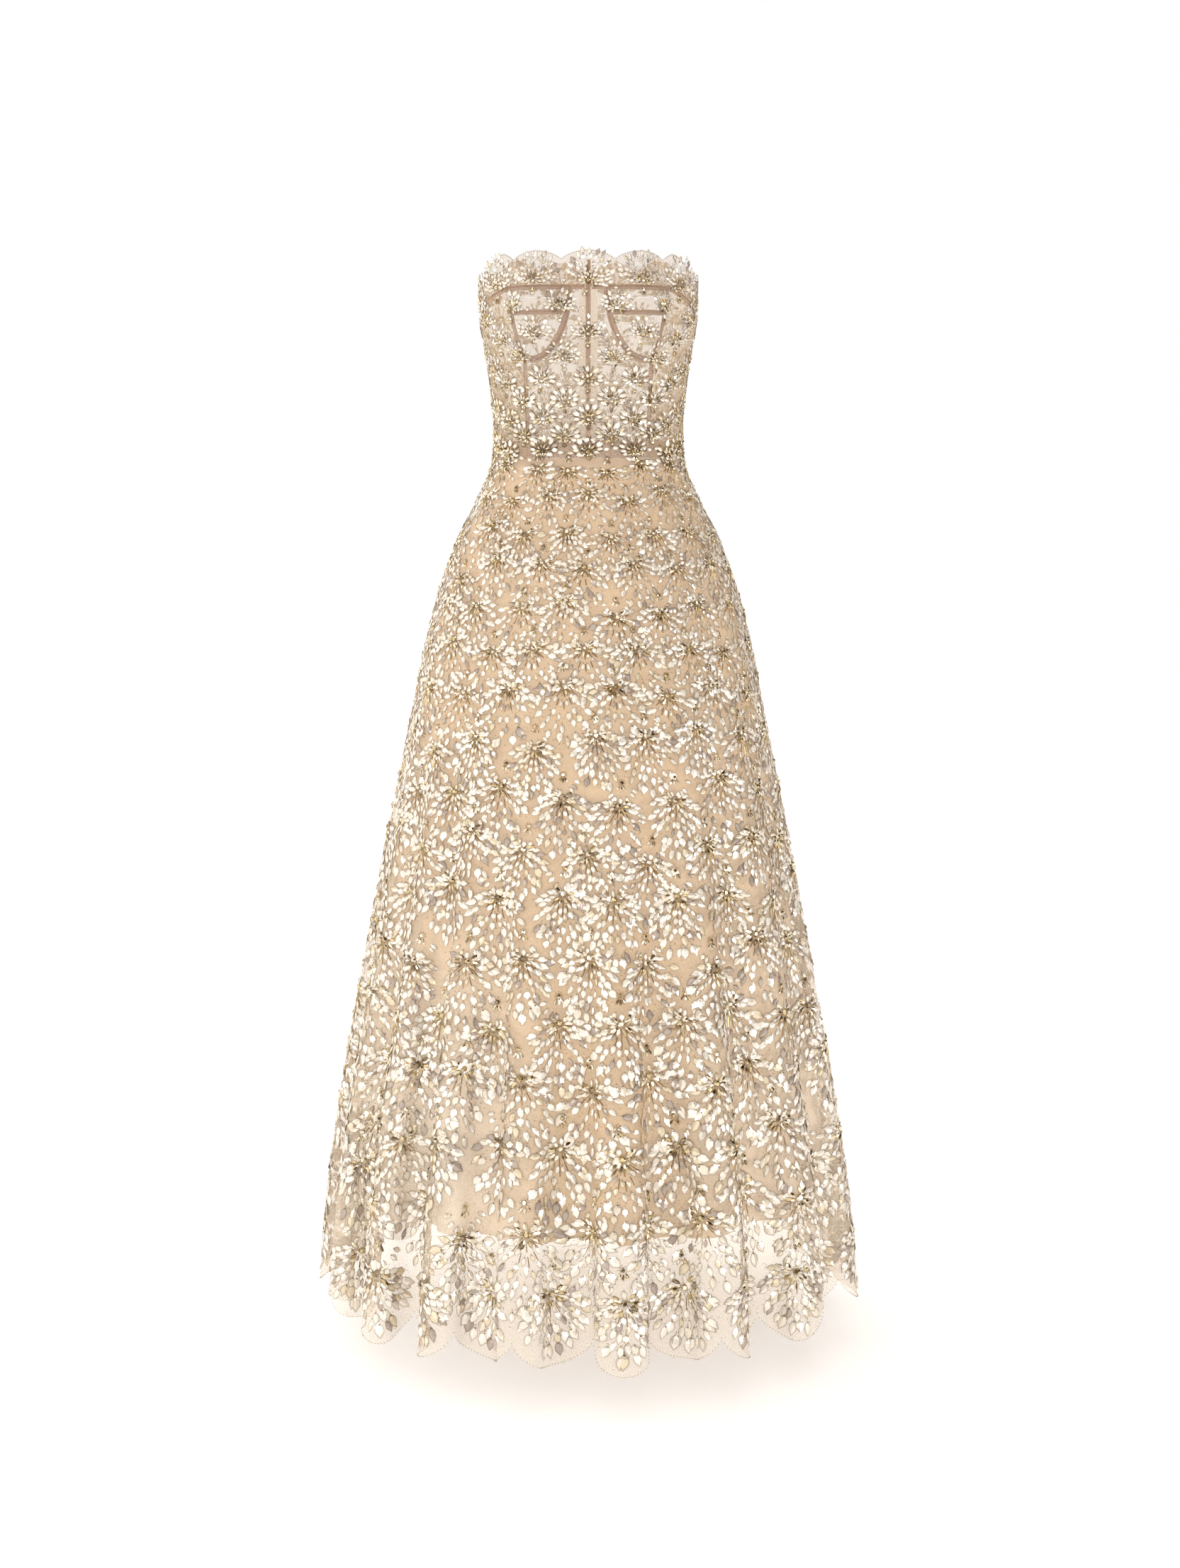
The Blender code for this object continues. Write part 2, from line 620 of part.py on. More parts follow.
def zip_slider(parent):
    """The slider at the top of the closed zip: a plate behind the tapes and a crown in front of
    them, joined by a neck in the slot, with a bridge that holds the pull tab."""
    face = float(shape("back", (SLIDER_LOW + SLIDER_HIGH) / 2))
    plate = face - UNDER_CLOTH - ZIP_TAPE_THICK - SLIDER_GAP
    crown = face + CROWN_GAP
    half_section = (
        (SLIDER_HALF, plate - SLIDER_BACK),
        (SLIDER_HALF, plate),
        (SLIDER_NECK_HALF, plate),
        (SLIDER_NECK_HALF, crown),
        (CROWN_HALF, crown),
        (CROWN_HALF, crown + CROWN_THICK),
    )
    section = [*half_section, *[(-x, y) for x, y in reversed(half_section)]]
    outline = [(x, y, SLIDER_LOW) for x, y in section]
    slider = extruded("zip_slider", outline, (0, 0, SLIDER_HIGH - SLIDER_LOW), METAL, parent)

    foot = crown + CROWN_THICK
    inside = BRIDGE_HOLE_HIGH / 2
    outside = inside + BRIDGE_BAR
    deep = foot + BRIDGE_HOLE_DEEP
    arch = (
        (foot - BRIDGE_SINK, -outside),
        (deep + BRIDGE_BAR, -outside),
        (deep + BRIDGE_BAR, outside),
        (foot - BRIDGE_SINK, outside),
        (foot - BRIDGE_SINK, inside),
        (deep, inside),
        (deep, -inside),
        (foot - BRIDGE_SINK, -inside),
    )
    outline = [(-BRIDGE_HALF, y, HINGE_Z + z) for y, z in arch]
    bridge = extruded("zip_bridge", outline, (2 * BRIDGE_HALF, 0, 0), METAL, parent)
    combined(slider, "UNION", bridge)

    hinge = bpy.data.objects.new("zip_pull_hinge", None)
    hinge.location = (0, foot + BRIDGE_HOLE_DEEP / 2, HINGE_Z)
    hinge.parent = parent
    bpy.context.scene.collection.objects.link(hinge)
    half = [(PULL_TOP_HALF, PULL_BAR / 2), (PULL_TOP_HALF, PULL_NECK_Z / 2 - PULL_BAR)]
    half.append((PULL_NECK_HALF, PULL_NECK_Z))
    turns = np.radians(np.linspace(0, 90, 6)[:-1])
    half += [(PULL_ROUND * math.cos(a), PULL_ROUND_Z - PULL_ROUND * math.sin(a)) for a in turns]
    tip = (0, PULL_ROUND_Z - PULL_ROUND)
    flat = [*half, tip, *[(-x, z) for x, z in reversed(half)]]
    outline = [(x, -PULL_THICK / 2, z) for x, z in flat]
    pull = extruded("zip_pull", outline, (0, PULL_THICK, 0), METAL, hinge)
    low, high = -PULL_BAR / 2 - PULL_WINDOW, -PULL_BAR / 2
    corners = ((-1, low), (1, low), (1, high), (-1, high))
    outline = [(x * PULL_WINDOW_HALF, -PULL_THICK, z) for x, z in corners]
    window = extruded("zip_pull_window", outline, (0, 2 * PULL_THICK, 0), METAL, hinge)
    combined(pull, "DIFFERENCE", window)


# The scene starts empty.
for item in list(bpy.data.objects):
    bpy.data.objects.remove(item)

NET = material("embroidered_net", (0.80, 0.72, 0.62), 0.6)
SHEER = material("sheer_net", (0.90, 0.86, 0.82), 0.6)
SIDE_MESH = material("side_mesh", (0.82, 0.70, 0.60), 0.7)
LINING = material("nude_lining", (0.72, 0.53, 0.36), 0.55)
CASING = material("casing_ribbon", (0.55, 0.38, 0.28), 0.7)
TAPE = material("zip_tape", (0.76, 0.66, 0.55), 0.7)
METAL = material("zip_metal", (0.72, 0.68, 0.60), 0.3, 1.0)

gown = bpy.data.objects.new("gown", None)
bpy.context.scene.collection.objects.link(gown)

bodice_panels(gown)
neckline_bands(gown)
casings(gown)
waistband(gown)
skirts(gown)
zip_tapes(gown)
zip_slider(gown)
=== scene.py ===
import math

import bmesh
import bpy
import numpy as np
from mathutils import Matrix, Vector


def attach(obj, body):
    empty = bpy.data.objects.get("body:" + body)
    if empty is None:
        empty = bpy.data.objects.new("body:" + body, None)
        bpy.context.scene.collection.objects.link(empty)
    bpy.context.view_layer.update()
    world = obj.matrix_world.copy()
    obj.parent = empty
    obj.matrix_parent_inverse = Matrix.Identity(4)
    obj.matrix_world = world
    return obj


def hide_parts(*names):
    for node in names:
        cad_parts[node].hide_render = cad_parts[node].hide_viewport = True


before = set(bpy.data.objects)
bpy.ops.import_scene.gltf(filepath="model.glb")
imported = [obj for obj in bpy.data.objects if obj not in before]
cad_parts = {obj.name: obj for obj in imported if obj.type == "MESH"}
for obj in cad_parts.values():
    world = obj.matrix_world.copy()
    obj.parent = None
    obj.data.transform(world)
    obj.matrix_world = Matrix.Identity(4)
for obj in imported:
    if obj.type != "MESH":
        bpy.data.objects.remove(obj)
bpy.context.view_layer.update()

# The studio is a white sweep with a bank of softboxes and dark flags all round, so that each
# facet of the embroidery meets a light or a dark patch. The camera sees the sweep as plain white.
CAMERA_FROM = Vector((0.0022, -2.9, 0.0))
CAMERA_AT = Vector((0.0022, 0.0, -0.41))
PHOTO_HIGH_PX = 2212
FOCAL_PX = 3254
SENSOR_MM = 36.0
FLOOR_Z = -1.12
FLOOR_HALF = 9.0
SOFTBOX_STRENGTH = 2.32


def srgb(colour):
    """A hex colour as the linear numbers that a shader takes."""
    parts = [int(colour[i : i + 2], 16) / 255 for i in (1, 3, 5)]
    return (*[p / 12.92 if p <= 0.04045 else ((p + 0.055) / 1.055) ** 2.4 for p in parts], 1.0)


def add_node(tree, kind, inputs=None, to=None, **settings):
    """A new shader node of a kind, with its settings. An input is set to a value, or linked to an
    output or to a node's first output. The new node's first output is linked to the input to."""
    made = tree.nodes.new("ShaderNode" + kind)
    for name, value in settings.items():
        if name == "stops":
            while len(made.color_ramp.elements) < len(value):
                made.color_ramp.elements.new(0.5)
            for stop, (place, colour) in zip(made.color_ramp.elements, value):
                stop.position = place
                stop.color = srgb(colour)
        elif name == "interpolation":
            made.color_ramp.interpolation = value
        else:
            setattr(made, name, value)
    for name, value in (inputs or {}).items():
        if isinstance(value, bpy.types.Node):
            value = value.outputs[0]
        if isinstance(value, bpy.types.NodeSocket):
            tree.links.new(value, made.inputs[name])
        else:
            made.inputs[name].default_value = value
    if to is not None:
        tree.links.new(made.outputs[0], to)
    return made


camera = bpy.data.objects.new("camera", bpy.data.cameras.new("camera"))
camera.data.sensor_width = SENSOR_MM
camera.data.lens = FOCAL_PX / PHOTO_HIGH_PX * SENSOR_MM
camera.location = CAMERA_FROM
camera.rotation_euler = (CAMERA_AT - CAMERA_FROM).to_track_quat("-Z", "Y").to_euler()
bpy.context.scene.collection.objects.link(camera)
bpy.context.scene.camera = camera
bpy.context.scene.view_settings.view_transform = "Standard"

world = bpy.data.worlds.new("studio")
bpy.context.scene.world = world
world.use_nodes = True
tree = world.node_tree
tree.nodes.clear()
around = add_node(tree, "TexCoord").outputs["Generated"]
boxes = add_node(tree, "TexVoronoi", {"Vector": around, "Scale": 4.3})
which = add_node(tree, "SeparateColor", {0: boxes.outputs["Color"]})
# More of the boxes are on the left, and more of the flags on the right.
toward = add_node(tree, "SeparateXYZ", {0: around})
left = add_node(tree, "MapRange", {0: toward, "From Min": 0.9, "From Max": -0.9})
both = add_node(tree, "Mix", {"Factor": 0.36, 2: which, 3: left}, data_type="FLOAT")
greys = ((0.0, "#3C322B"), (0.25, "#90867B"), (0.47, "#C2BDB6"), (0.66, "#E4E1DD"))
levels = add_node(tree, "ValToRGB", {0: both}, stops=greys, interpolation="CONSTANT")
softboxes = add_node(tree, "Background", {"Color": levels, "Strength": SOFTBOX_STRENGTH})
sweep = add_node(tree, "Background", {"Color": (1, 1, 1, 1), "Strength": 1.0})
seen = add_node(tree, "LightPath").outputs["Is Camera Ray"]
backdrop = add_node(tree, "OutputWorld").inputs["Surface"]
add_node(tree, "MixShader", {0: seen, 1: softboxes, 2: sweep}, backdrop)


def new_finish(name):
    """A material, its empty node tree, and the input that its shader goes to."""
    made = bpy.data.materials.new(name)
    made.use_nodes = True
    made.node_tree.nodes.clear()
    return made, made.node_tree, add_node(made.node_tree, "OutputMaterial").inputs["Surface"]


# Matt white vinyl, lit from inside the sweep so that it melts into the background.
floor_finish, tree, surface = new_finish("white vinyl")
vinyl = {"Base Color": srgb("#F4F4F4"), "Roughness": 0.9}
vinyl.update({"Emission Color": (1, 1, 1, 1), "Emission Strength": 0.34})
add_node(tree, "BsdfPrincipled", vinyl, surface)
bm = bmesh.new()
bmesh.ops.create_grid(bm, x_segments=1, y_segments=1, size=FLOOR_HALF)
bmesh.ops.translate(bm, verts=bm.verts, vec=(0, 0, FLOOR_Z))
floor_mesh = bpy.data.meshes.new("floor")
bm.to_mesh(floor_mesh)
bm.free()
floor_mesh.materials.append(floor_finish)
floor = bpy.data.objects.new("floor", floor_mesh)
bpy.context.scene.collection.objects.link(floor)

# Each softbox: its name, its place, its width and its watts.
LAMPS = (
    ("key softbox", (-0.4, -4.7, 0.2), 0.7, 40),
    ("left softbox", (-3.8, -2.4, -0.3), 1.4, 44),
    ("right softbox", (3.8, -2.4, -0.3), 1.4, 66),
)
LAMPS_AIM = Vector((0, 0, -0.6))
for name, place, width, watts in LAMPS:
    lamp = bpy.data.lights.new(name, "AREA")
    lamp.shape = "DISK"
    lamp.size = width
    lamp.energy = watts
    stand = bpy.data.objects.new(name, lamp)
    stand.location = place
    stand.rotation_euler = (LAMPS_AIM - stand.location).to_track_quat("-Z", "Y").to_euler()
    bpy.context.scene.collection.objects.link(stand)

# The nude lining is a matt warm beige satin, cut in a front and two back panels. It is sewn in
# at the waist and hangs inside the net, and ends well above the net's hem.
BODY = (
    ("z", "half_width", "front", "back", "fold"),
    (0.246, 0.1345, 0.100, 0.101, 0.0),
    (0.212, 0.1345, 0.103, 0.103, 0.0),
    (0.170, 0.1335, 0.104, 0.102, 0.0),
    (0.127, 0.1265, 0.100, 0.097, 0.0),
    (0.075, 0.1195, 0.094, 0.091, 0.0),
    (0.040, 0.1165, 0.090, 0.088, 0.0),
    (0.000, 0.1185, 0.090, 0.089, 0.0),
    (-0.050, 0.1370, 0.106, 0.111, 0.0),
    (-0.100, 0.1630, 0.124, 0.136, 0.0),
    (-0.200, 0.1965, 0.150, 0.168, 0.0),
    (-0.320, 0.2220, 0.176, 0.194, 0.001),
    (-0.460, 0.2490, 0.203, 0.219, 0.004),
    (-0.620, 0.2755, 0.230, 0.243, 0.009),
    (-0.780, 0.3005, 0.256, 0.266, 0.014),
    (-0.940, 0.3205, 0.283, 0.290, 0.019),
    (-1.070, 0.3290, 0.302, 0.305, 0.023),
)
# Each fold of the skirt has its crest at this turn round the hem, and its share of the depth.
FOLDS = (
    ("turn_deg", "share"),
    (-160, 0.9),
    (-139, 1.0),
    (-115, 0.8),
    (-91, 1.0),
    (-69, 0.9),
    (-50, 1.0),
    (-33, 0.9),
    (-15, 0.8),
    (7, 1.0),
    (29, 1.1),
    (54, 0.9),
    (79, 1.0),
    (103, 0.8),
    (127, 1.0),
    (151, 0.9),
    (174, 1.0),
)
FOLD_ROLL = 0.40
RING_POINTS = 1441
SEAM = 0.0003
LINING_HEM_Z = -0.925
LINING_FOLD_SHARE = 0.6
LINING_INSET = 0.0030
LINING_DROP_IN = 0.006
LINING_FALL = 0.06
LINING_FOLD_ROOM = 0.5
LINING_GRID = (120, 56)
ZIP_FOOT_Z = -0.15
ZIP_SLOT_HALF = 0.0009
ZIP_TAPE_HALF = 0.0120


def column(table, name):
    """One column of a table whose first row has the names."""
    return np.array([row[table[0].index(name)] for row in table[1:]], float)


def smooth(z, heights, values):
    """A smooth line through a column of a table, with no bump between its rows."""
    order = np.argsort(heights)
    h, v = heights[order], values[order]
    steps = np.diff(v) / np.diff(h)
    slopes = np.concatenate([steps[:1], np.zeros(len(h) - 2), steps[-1:]])
    total = np.where(steps[1:] * steps[:-1] > 0, steps[1:] + steps[:-1], 1)
    slopes[1:-1] = np.where(steps[1:] * steps[:-1] > 0, 2 * steps[1:] * steps[:-1] / total, 0)
    z = np.clip(z, h[0], h[-1])
    i = np.clip(np.searchsorted(h, z) - 1, 0, len(h) - 2)
    span = h[i + 1] - h[i]
    k = (z - h[i]) / span
    rise = v[i] * (1 + 2 * k) * (1 - k) ** 2 + v[i + 1] * k**2 * (3 - 2 * k)
    return rise + (slopes[i] * k * (1 - k) ** 2 - slopes[i + 1] * k**2 * (1 - k)) * span


def unit(directions):
    return directions / np.linalg.norm(directions, axis=-1, keepdims=True)


def lengths_along(points):
    """How far along a line each of its points lies."""
    return np.concatenate([[0], np.cumsum(np.linalg.norm(np.diff(points, axis=0), axis=1))])


def body(name, z):
    return smooth(z, column(BODY, "z"), column(BODY, name))


def skirt_ring(z, fold_share, inset):
    """One level of a skirt, as points spaced evenly along its cloth from the centre back, past
    the left side, the centre front and the right side, to the centre back again."""
    crests = column(FOLDS, "turn_deg")
    shares = column(FOLDS, "share")
    crests = np.concatenate([[crests[-1] - 360], crests, [crests[0] + 360]])
    shares = np.concatenate([shares[-1:], shares, shares[:1]])
    t = np.linspace(-180, 180, RING_POINTS)
    wave = np.interp(t, crests, 2 * math.pi * np.arange(len(crests)))
    depth = body("fold", z) * fold_share * np.interp(t, crests, shares)
    t = np.radians(t)
    wide = body("half_width", z)
    deep = np.where(np.cos(t) > 0, body("front", z), body("back", z))
    base = np.stack([wide * np.sin(t), -deep * np.cos(t)], axis=-1)
    along = unit(np.stack([wide * np.cos(t), deep * np.sin(t)], axis=-1))
    out = np.stack([along[:, 1], -along[:, 0]], axis=-1)
    push = depth * np.cos(wave) - inset
    slide = FOLD_ROLL * depth * np.sin(2 * wave)
    points = base + out * push[:, None] + along * slide[:, None]
    lengths = lengths_along(points)
    front = lengths[len(t) // 2]
    cloth = np.where(lengths < front, lengths / front - 1, (lengths - front) / (lengths[-1] - front))
    even = np.linspace(-1, 1, RING_POINTS)
    return np.stack([np.interp(even, cloth, points[:, i]) for i in (0, 1)] + [z + 0 * even], axis=-1)


class Cloth:
    """A cloth's face as a fine grid of points. A place on it is a turn, which runs round the
    body and is 0 at the centre front, and a height."""

    def __init__(self, turns, heights, points):
        self.turns = turns
        self.heights = heights
        self.points = points

    def at(self, turn, z):
        u = (turn - self.turns[0]) / (self.turns[1] - self.turns[0]) % (len(self.turns) - 1)
        v = (z - self.heights[0]) / (self.heights[1] - self.heights[0])
        i = np.floor(u).astype(int)
        j = np.clip(np.floor(v).astype(int), 0, len(self.heights) - 2)
        u, v = (u - i)[..., None], (v - j)[..., None]
        p = self.points
        low = p[j, i] * (1 - u) + p[j, i + 1] * u
        high = p[j + 1, i] * (1 - u) + p[j + 1, i + 1] * u
        return low * (1 - v) + high * v

    def frame(self, turn, z):
        """Points, directions to the right, up and out there, and the metres of cloth for one
        unit of turn and of height."""
        step_turn = self.turns[1] - self.turns[0]
        step_z = self.heights[1] - self.heights[0]
        right = (self.at(turn + step_turn, z) - self.at(turn - step_turn, z)) / (2 * step_turn)
        up = (self.at(turn, z + step_z) - self.at(turn, z - step_z)) / (2 * step_z)
        across = np.linalg.norm(right, axis=-1)
        high = np.linalg.norm(up, axis=-1)
        right = right / across[..., None]
        out = unit(np.cross(right, up / high[..., None]))
        return self.at(turn, z), right, np.cross(out, right), out, across, high


def skirt_cloth(fold_share, inset):
    """A skirt's face from the waist to just below its hem."""
    heights = np.linspace(-1.09, 0.005, 220)
    rings = [skirt_ring(z, fold_share, inset(z)) for z in heights]
    return Cloth(np.linspace(-1, 1, RING_POINTS), heights, np.array(rings))


def lining_inset(z):
    fold = float(body("fold", z))
    return LINING_INSET + LINING_DROP_IN * min(1.0, max(0.0, -z / LINING_FALL)) + LINING_FOLD_ROOM * fold


def finished(name, mesh, finish, flat=False):
    """An object on the gown from a mesh or a bmesh, smooth unless it is to show its facets."""
    if isinstance(mesh, bmesh.types.BMesh):
        bm, mesh = mesh, bpy.data.meshes.new(name)
        bm.to_mesh(mesh)
        bm.free()
    mesh.materials.append(finish)
    if flat:
        mesh.shade_flat()
    else:
        mesh.shade_smooth()
    piece = bpy.data.objects.new(name, mesh)
    bpy.context.scene.collection.objects.link(piece)
    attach(piece, "gown")
    return piece


def sheet_of_cloth(name, columns, rows, place, finish, node):
    """A sheet from a flat grid. place takes how far right and how far up each point is, from 0
    to 1, and gives its point on the gown. Its UV map is in metres of cloth."""
    bm = bmesh.new()
    bmesh.ops.create_grid(bm, x_segments=columns, y_segments=rows, size=1)
    right = np.array([(v.co.x + 1) / 2 for v in bm.verts])
    up = np.array([(v.co.y + 1) / 2 for v in bm.verts])
    points = place(right, up)
    corner_order = np.lexsort((right.round(6), up.round(6)))
    grid = points[corner_order].reshape(rows + 1, columns + 1, 3)
    across = np.linalg.norm(np.diff(grid, axis=1), axis=-1)
    along = np.linalg.norm(np.diff(grid, axis=0), axis=-1)
    width, length = across.sum(axis=1), along.sum(axis=0)
    map_layer = bm.loops.layers.uv.new("cloth")
    for vert, point, u, v in zip(bm.verts, points, right * width.mean(), up * length.mean()):
        vert.co = point
        for loop in vert.link_loops:
            loop[map_layer].uv = (u, v)
    piece = finished(name, bm, finish)
    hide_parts(node)


def skirt_panels(name, cloth, grid, hem_z, slot_half, finish, slot):
    """A skirt's front and its two backs, with a seam's gap between them. grid is for the front,
    and slot_half tells how far from the centre back the cloth stops at a height."""
    for piece, low, high in (("front", -0.5, 0.5), ("back_right", 0.5, 1.0), ("back_left", -1.0, -0.5)):

        def place(right, up, low=low, high=high):
            turn = low + (high - low) * right
            z = -SEAM / 2 + (hem_z(turn, 1 - up) + SEAM / 2) * (1 - up)
            across = cloth.frame(turn, z)[4]
            gap_low = np.where(low == -1.0, slot_half(z), SEAM / 2) / across
            gap_high = np.where(high == 1.0, slot_half(z), SEAM / 2) / across
            turn = low + gap_low + (high - low - gap_low - gap_high) * right
            return cloth.at(turn, z)

        columns = grid[0] if piece == "front" else grid[0] // 2
        node = f"{name}_{piece}"
        sheet_of_cloth(f"{node}_cloth", columns, grid[1], place, finish, node)


# Polyester satin with a dull face: a soft beige in broad vertical streaks of painted fold light and shade,
# with painted shade in ochre low in the middle, painted light (paler) at the low sides, and soft hanging
# creases and threads that only show close up.
lining_finish, tree, surface = new_finish("nude satin")
place = add_node(tree, "TexCoord").outputs["Object"]
axes = add_node(tree, "SeparateXYZ", {0: place})
x, z = axes.outputs[0], axes.outputs[2]
# Broad streaks of two beiges, stretched down the skirt, are painted light and shade of the hanging folds.
stretched = add_node(tree, "Mapping", {0: place, "Scale": (9, 9, 1.6)})
painted_fold_shade = add_node(tree, "TexNoise", {"Vector": stretched, "Scale": 1.0, "Detail": 2.0})
colour = add_node(tree, "ValToRGB", {0: painted_fold_shade}, stops=((0.32, "#DCBB8F"), (0.68, "#E7CBA7")))
# The ochre low in the middle is painted shade, where the layers of net and the folds overlap.
middle = {0: place, "Location": (0.005, -0.25, -0.70), "Scale": (0.17, 0.30, 0.30)}
middle = add_node(tree, "Mapping", middle, vector_type="TEXTURE")
painted_middle_shade = add_node(tree, "TexGradient", {0: middle}, gradient_type="SPHERICAL").outputs["Fac"]
painted_middle_shade = add_node(tree, "MapRange", {0: painted_middle_shade, "From Max": 0.6, "To Max": 0.75})
# The paler low sides, most of all on the left, are painted light.
low_down = add_node(tree, "MapRange", {0: z, "From Min": -0.50, "From Max": -0.80})
from_left = add_node(tree, "Math", {0: x, 1: -1.0}, operation="MULTIPLY")
from_right = add_node(tree, "Math", {0: x, 1: 0.42}, operation="MULTIPLY")
aside = add_node(tree, "Math", {0: from_left, 1: from_right}, operation="MAXIMUM")
aside = add_node(tree, "MapRange", {0: aside, "From Min": 0.03, "From Max": 0.16})
painted_side_light = add_node(tree, "Math", {0: low_down, 1: aside}, operation="MULTIPLY")
# A darker band just under the waist is painted shade, where the lining meets the waistband.
painted_waist_shade = add_node(tree, "MapRange", {0: z, "From Min": -0.013, "From Max": -0.007, "To Max": 0.85})
for share, tint in ((painted_middle_shade, "#DFBC8A"), (painted_side_light, "#FCF1E3"), (painted_waist_shade, "#9C7555")):
    mixed = {"Factor": share, 6: colour, 7: srgb(tint)}
    colour = add_node(tree, "Mix", mixed, data_type="RGBA").outputs[2]
creased = add_node(tree, "Mapping", {0: place, "Scale": (26, 26, 1.1)})
creases = add_node(tree, "TexNoise", {"Vector": creased, "Scale": 1.0, "Detail": 1.5})
hanging = add_node(tree, "Bump", {"Height": creases, "Strength": 0.5, "Distance": 0.006})
threads = add_node(tree, "TexNoise", {"Vector": place, "Scale": 1200.0, "Detail": 1.0})
woven = {"Height": threads, "Strength": 0.15, "Distance": 0.0003, "Normal": hanging}
woven = add_node(tree, "Bump", woven)
satin = {"Base Color": colour, "Roughness": 0.55, "Specular IOR Level": 0.3}
satin.update({"Sheen Weight": 0.15, "Normal": woven})
add_node(tree, "BsdfPrincipled", satin, surface)



def lining_hem_z(turn, down):
    return LINING_HEM_Z


def lining_slot_half(z):
    return np.where(z > ZIP_FOOT_Z / 2, ZIP_TAPE_HALF + 0.001, SEAM / 2)


lining = skirt_cloth(LINING_FOLD_SHARE, lining_inset)
lining_shape = (lining, LINING_GRID, lining_hem_z, lining_slot_half)
skirt_panels("skirt_lining", *lining_shape, lining_finish, "nude_lining")

# The outer skirt is a fine nylon net, nearly clear, in a front and two back panels. It carries
# the embroidery, and its hem is cut in scallops, one round each fan of the last row.
HEM_VALLEY_Z = -1.034
HEM_LOBE = 0.034
HEM_LOBES = 24
LOBE_SHARPNESS = 0.7
NET_GRID = (192, 110)


def net_finish(name, colour, cover, mesh_mm, cover_below=None, fade=None):
    """Net is threads round holes: it covers most at a thread and least in a hole. cover is the
    mean share of what is behind that it hides, and mesh_mm is the width of a hole. Where the net
    is doubled lower down, cover_below is that share there, and fade is where the change starts
    and ends."""
    made, tree, surface = new_finish(name)
    cloth_map = add_node(tree, "UVMap", uv_map="cloth")
    holes = {"Vector": cloth_map, "Scale": 1000 / mesh_mm}
    holes = add_node(tree, "TexVoronoi", holes, feature="DISTANCE_TO_EDGE").outputs["Distance"]
    hides = {0: holes, "From Max": 0.3, "To Min": cover * 1.5, "To Max": cover * 0.7}
    hides = add_node(tree, "MapRange", hides)
    if fade:
        place = add_node(tree, "TexCoord").outputs["Object"]
        height = add_node(tree, "SeparateXYZ", {0: place}).outputs[2]
        more = {0: height, "From Min": fade[0], "From Max": fade[1], "To Min": cover_below / cover}
        more = add_node(tree, "MapRange", more)
        hides = add_node(tree, "Math", {0: hides, 1: more}, operation="MULTIPLY")
    threads = {"Base Color": srgb(colour), "Roughness": 0.6, "Sheen Weight": 0.2, "Alpha": hides}
    add_node(tree, "BsdfPrincipled", threads, surface)
    return made


def net_hem_z(turn, down):
    lobe = HEM_LOBE * np.abs(np.sin(HEM_LOBES * turn * math.pi / 2)) ** LOBE_SHARPNESS
    return HEM_VALLEY_Z - lobe * np.clip((down - 0.88) / 0.12, 0, 1)


def net_slot_half(z):
    return np.where(z > ZIP_FOOT_Z, ZIP_SLOT_HALF, SEAM / 2)


net = skirt_cloth(1.0, lambda z: 0.0)
# The holes are 1.2 mm wide on the real net, and drawn at 1.6 mm.
skirt_net_finish = net_finish("nylon net", "#DBCBB5", 0.32, 1.6)
skirt_panels("skirt_net", net, NET_GRID, net_hem_z, net_slot_half, skirt_net_finish, "embroidered_net")

# The bodice is cut like a corselet: cups in an upper and a lower piece, a centre front, and side
# fronts, side backs and backs. The middle is clear net, and the sides are a closer, pinker mesh.
CUP_SEAM = 0.0004
NECK_VALLEY_Z = 0.2345
NECK_LOBE = 0.0108
NECK_LOBES = 13
NECK_DIP = 0.033
NECK_DIP_SHARPNESS = 1.3
BAND_SEAM_Z = 0.2020
BAND_DIP = 0.030
UPPER_CUP_Z = 0.1718
UNDERBUST_Z = 0.1155
WIRE_FOOT_X = 0.0779
WIRE_TOP_X = 0.0215
WIRE_ROUNDNESS = 2.45
UPPER_CUP_TURN = 74
CUP_MIDDLE = (0.060, 0.152)
CUP_HALF_WIDTH = 0.043
CUP_DOWN = 0.0375
CUP_UP = 0.090
CUP_DEPTH = 0.021
CUP_SOFTNESS = 1.5
CUP_SPREAD = 0.25
PRINCESS = (
    ("z", "x"),
    (0.0, 0.0740),
    (0.0205, 0.0745),
    (UNDERBUST_Z, WIRE_FOOT_X),
    (UPPER_CUP_Z, 0.0935),
    (BAND_SEAM_Z, 0.1000),
)
BACK_SEAM_TURN = math.radians(137)
SIDE_TURN = math.pi / 2
BODICE_RADIUS = 0.09


def bodice_point(t, z):
    x = body("half_width", z) * np.sin(t)
    front = np.cos(t) > 0
    y = -np.where(front, body("front", z), body("back", z)) * np.cos(t)
    across = np.abs(np.abs(x) - CUP_MIDDLE[0]) / CUP_HALF_WIDTH
    along = np.abs(z - CUP_MIDDLE[1]) / np.where(z < CUP_MIDDLE[1], CUP_DOWN, CUP_UP)
    left = np.clip(1 - across**WIRE_ROUNDNESS - along**WIRE_ROUNDNESS, 0, 1)
    bulge = np.where(front, CUP_DEPTH * left**CUP_SOFTNESS, 0)
    return np.stack([x + CUP_SPREAD * bulge * np.sign(x), y - bulge, z + 0 * x], axis=-1)


def bodice_cloth():
    turns = np.linspace(-math.pi, math.pi, 721)
    heights = np.linspace(-0.003, 0.2465, 130)
    return Cloth(turns, heights, bodice_point(turns[None], heights[:, None]))


def turn_at(x, z):
    return np.arcsin(np.clip(x / body("half_width", z), -1, 1))


def princess_x(z):
    return np.interp(z, column(PRINCESS, "z"), column(PRINCESS, "x"))


def wire_points(turns_deg, outward=0.0):
    """(x, z) along the seam under a cup, moved outward from the cup."""
    turns = np.radians(turns_deg)
    wide = WIRE_FOOT_X - WIRE_TOP_X + outward
    deep = BAND_SEAM_Z - UNDERBUST_Z + outward
    x = WIRE_FOOT_X - wide * np.sin(turns) ** (2 / WIRE_ROUNDNESS)
    z = BAND_SEAM_Z - deep * np.abs(np.cos(turns)) ** (2 / WIRE_ROUNDNESS)
    return np.stack([x, z], axis=-1)


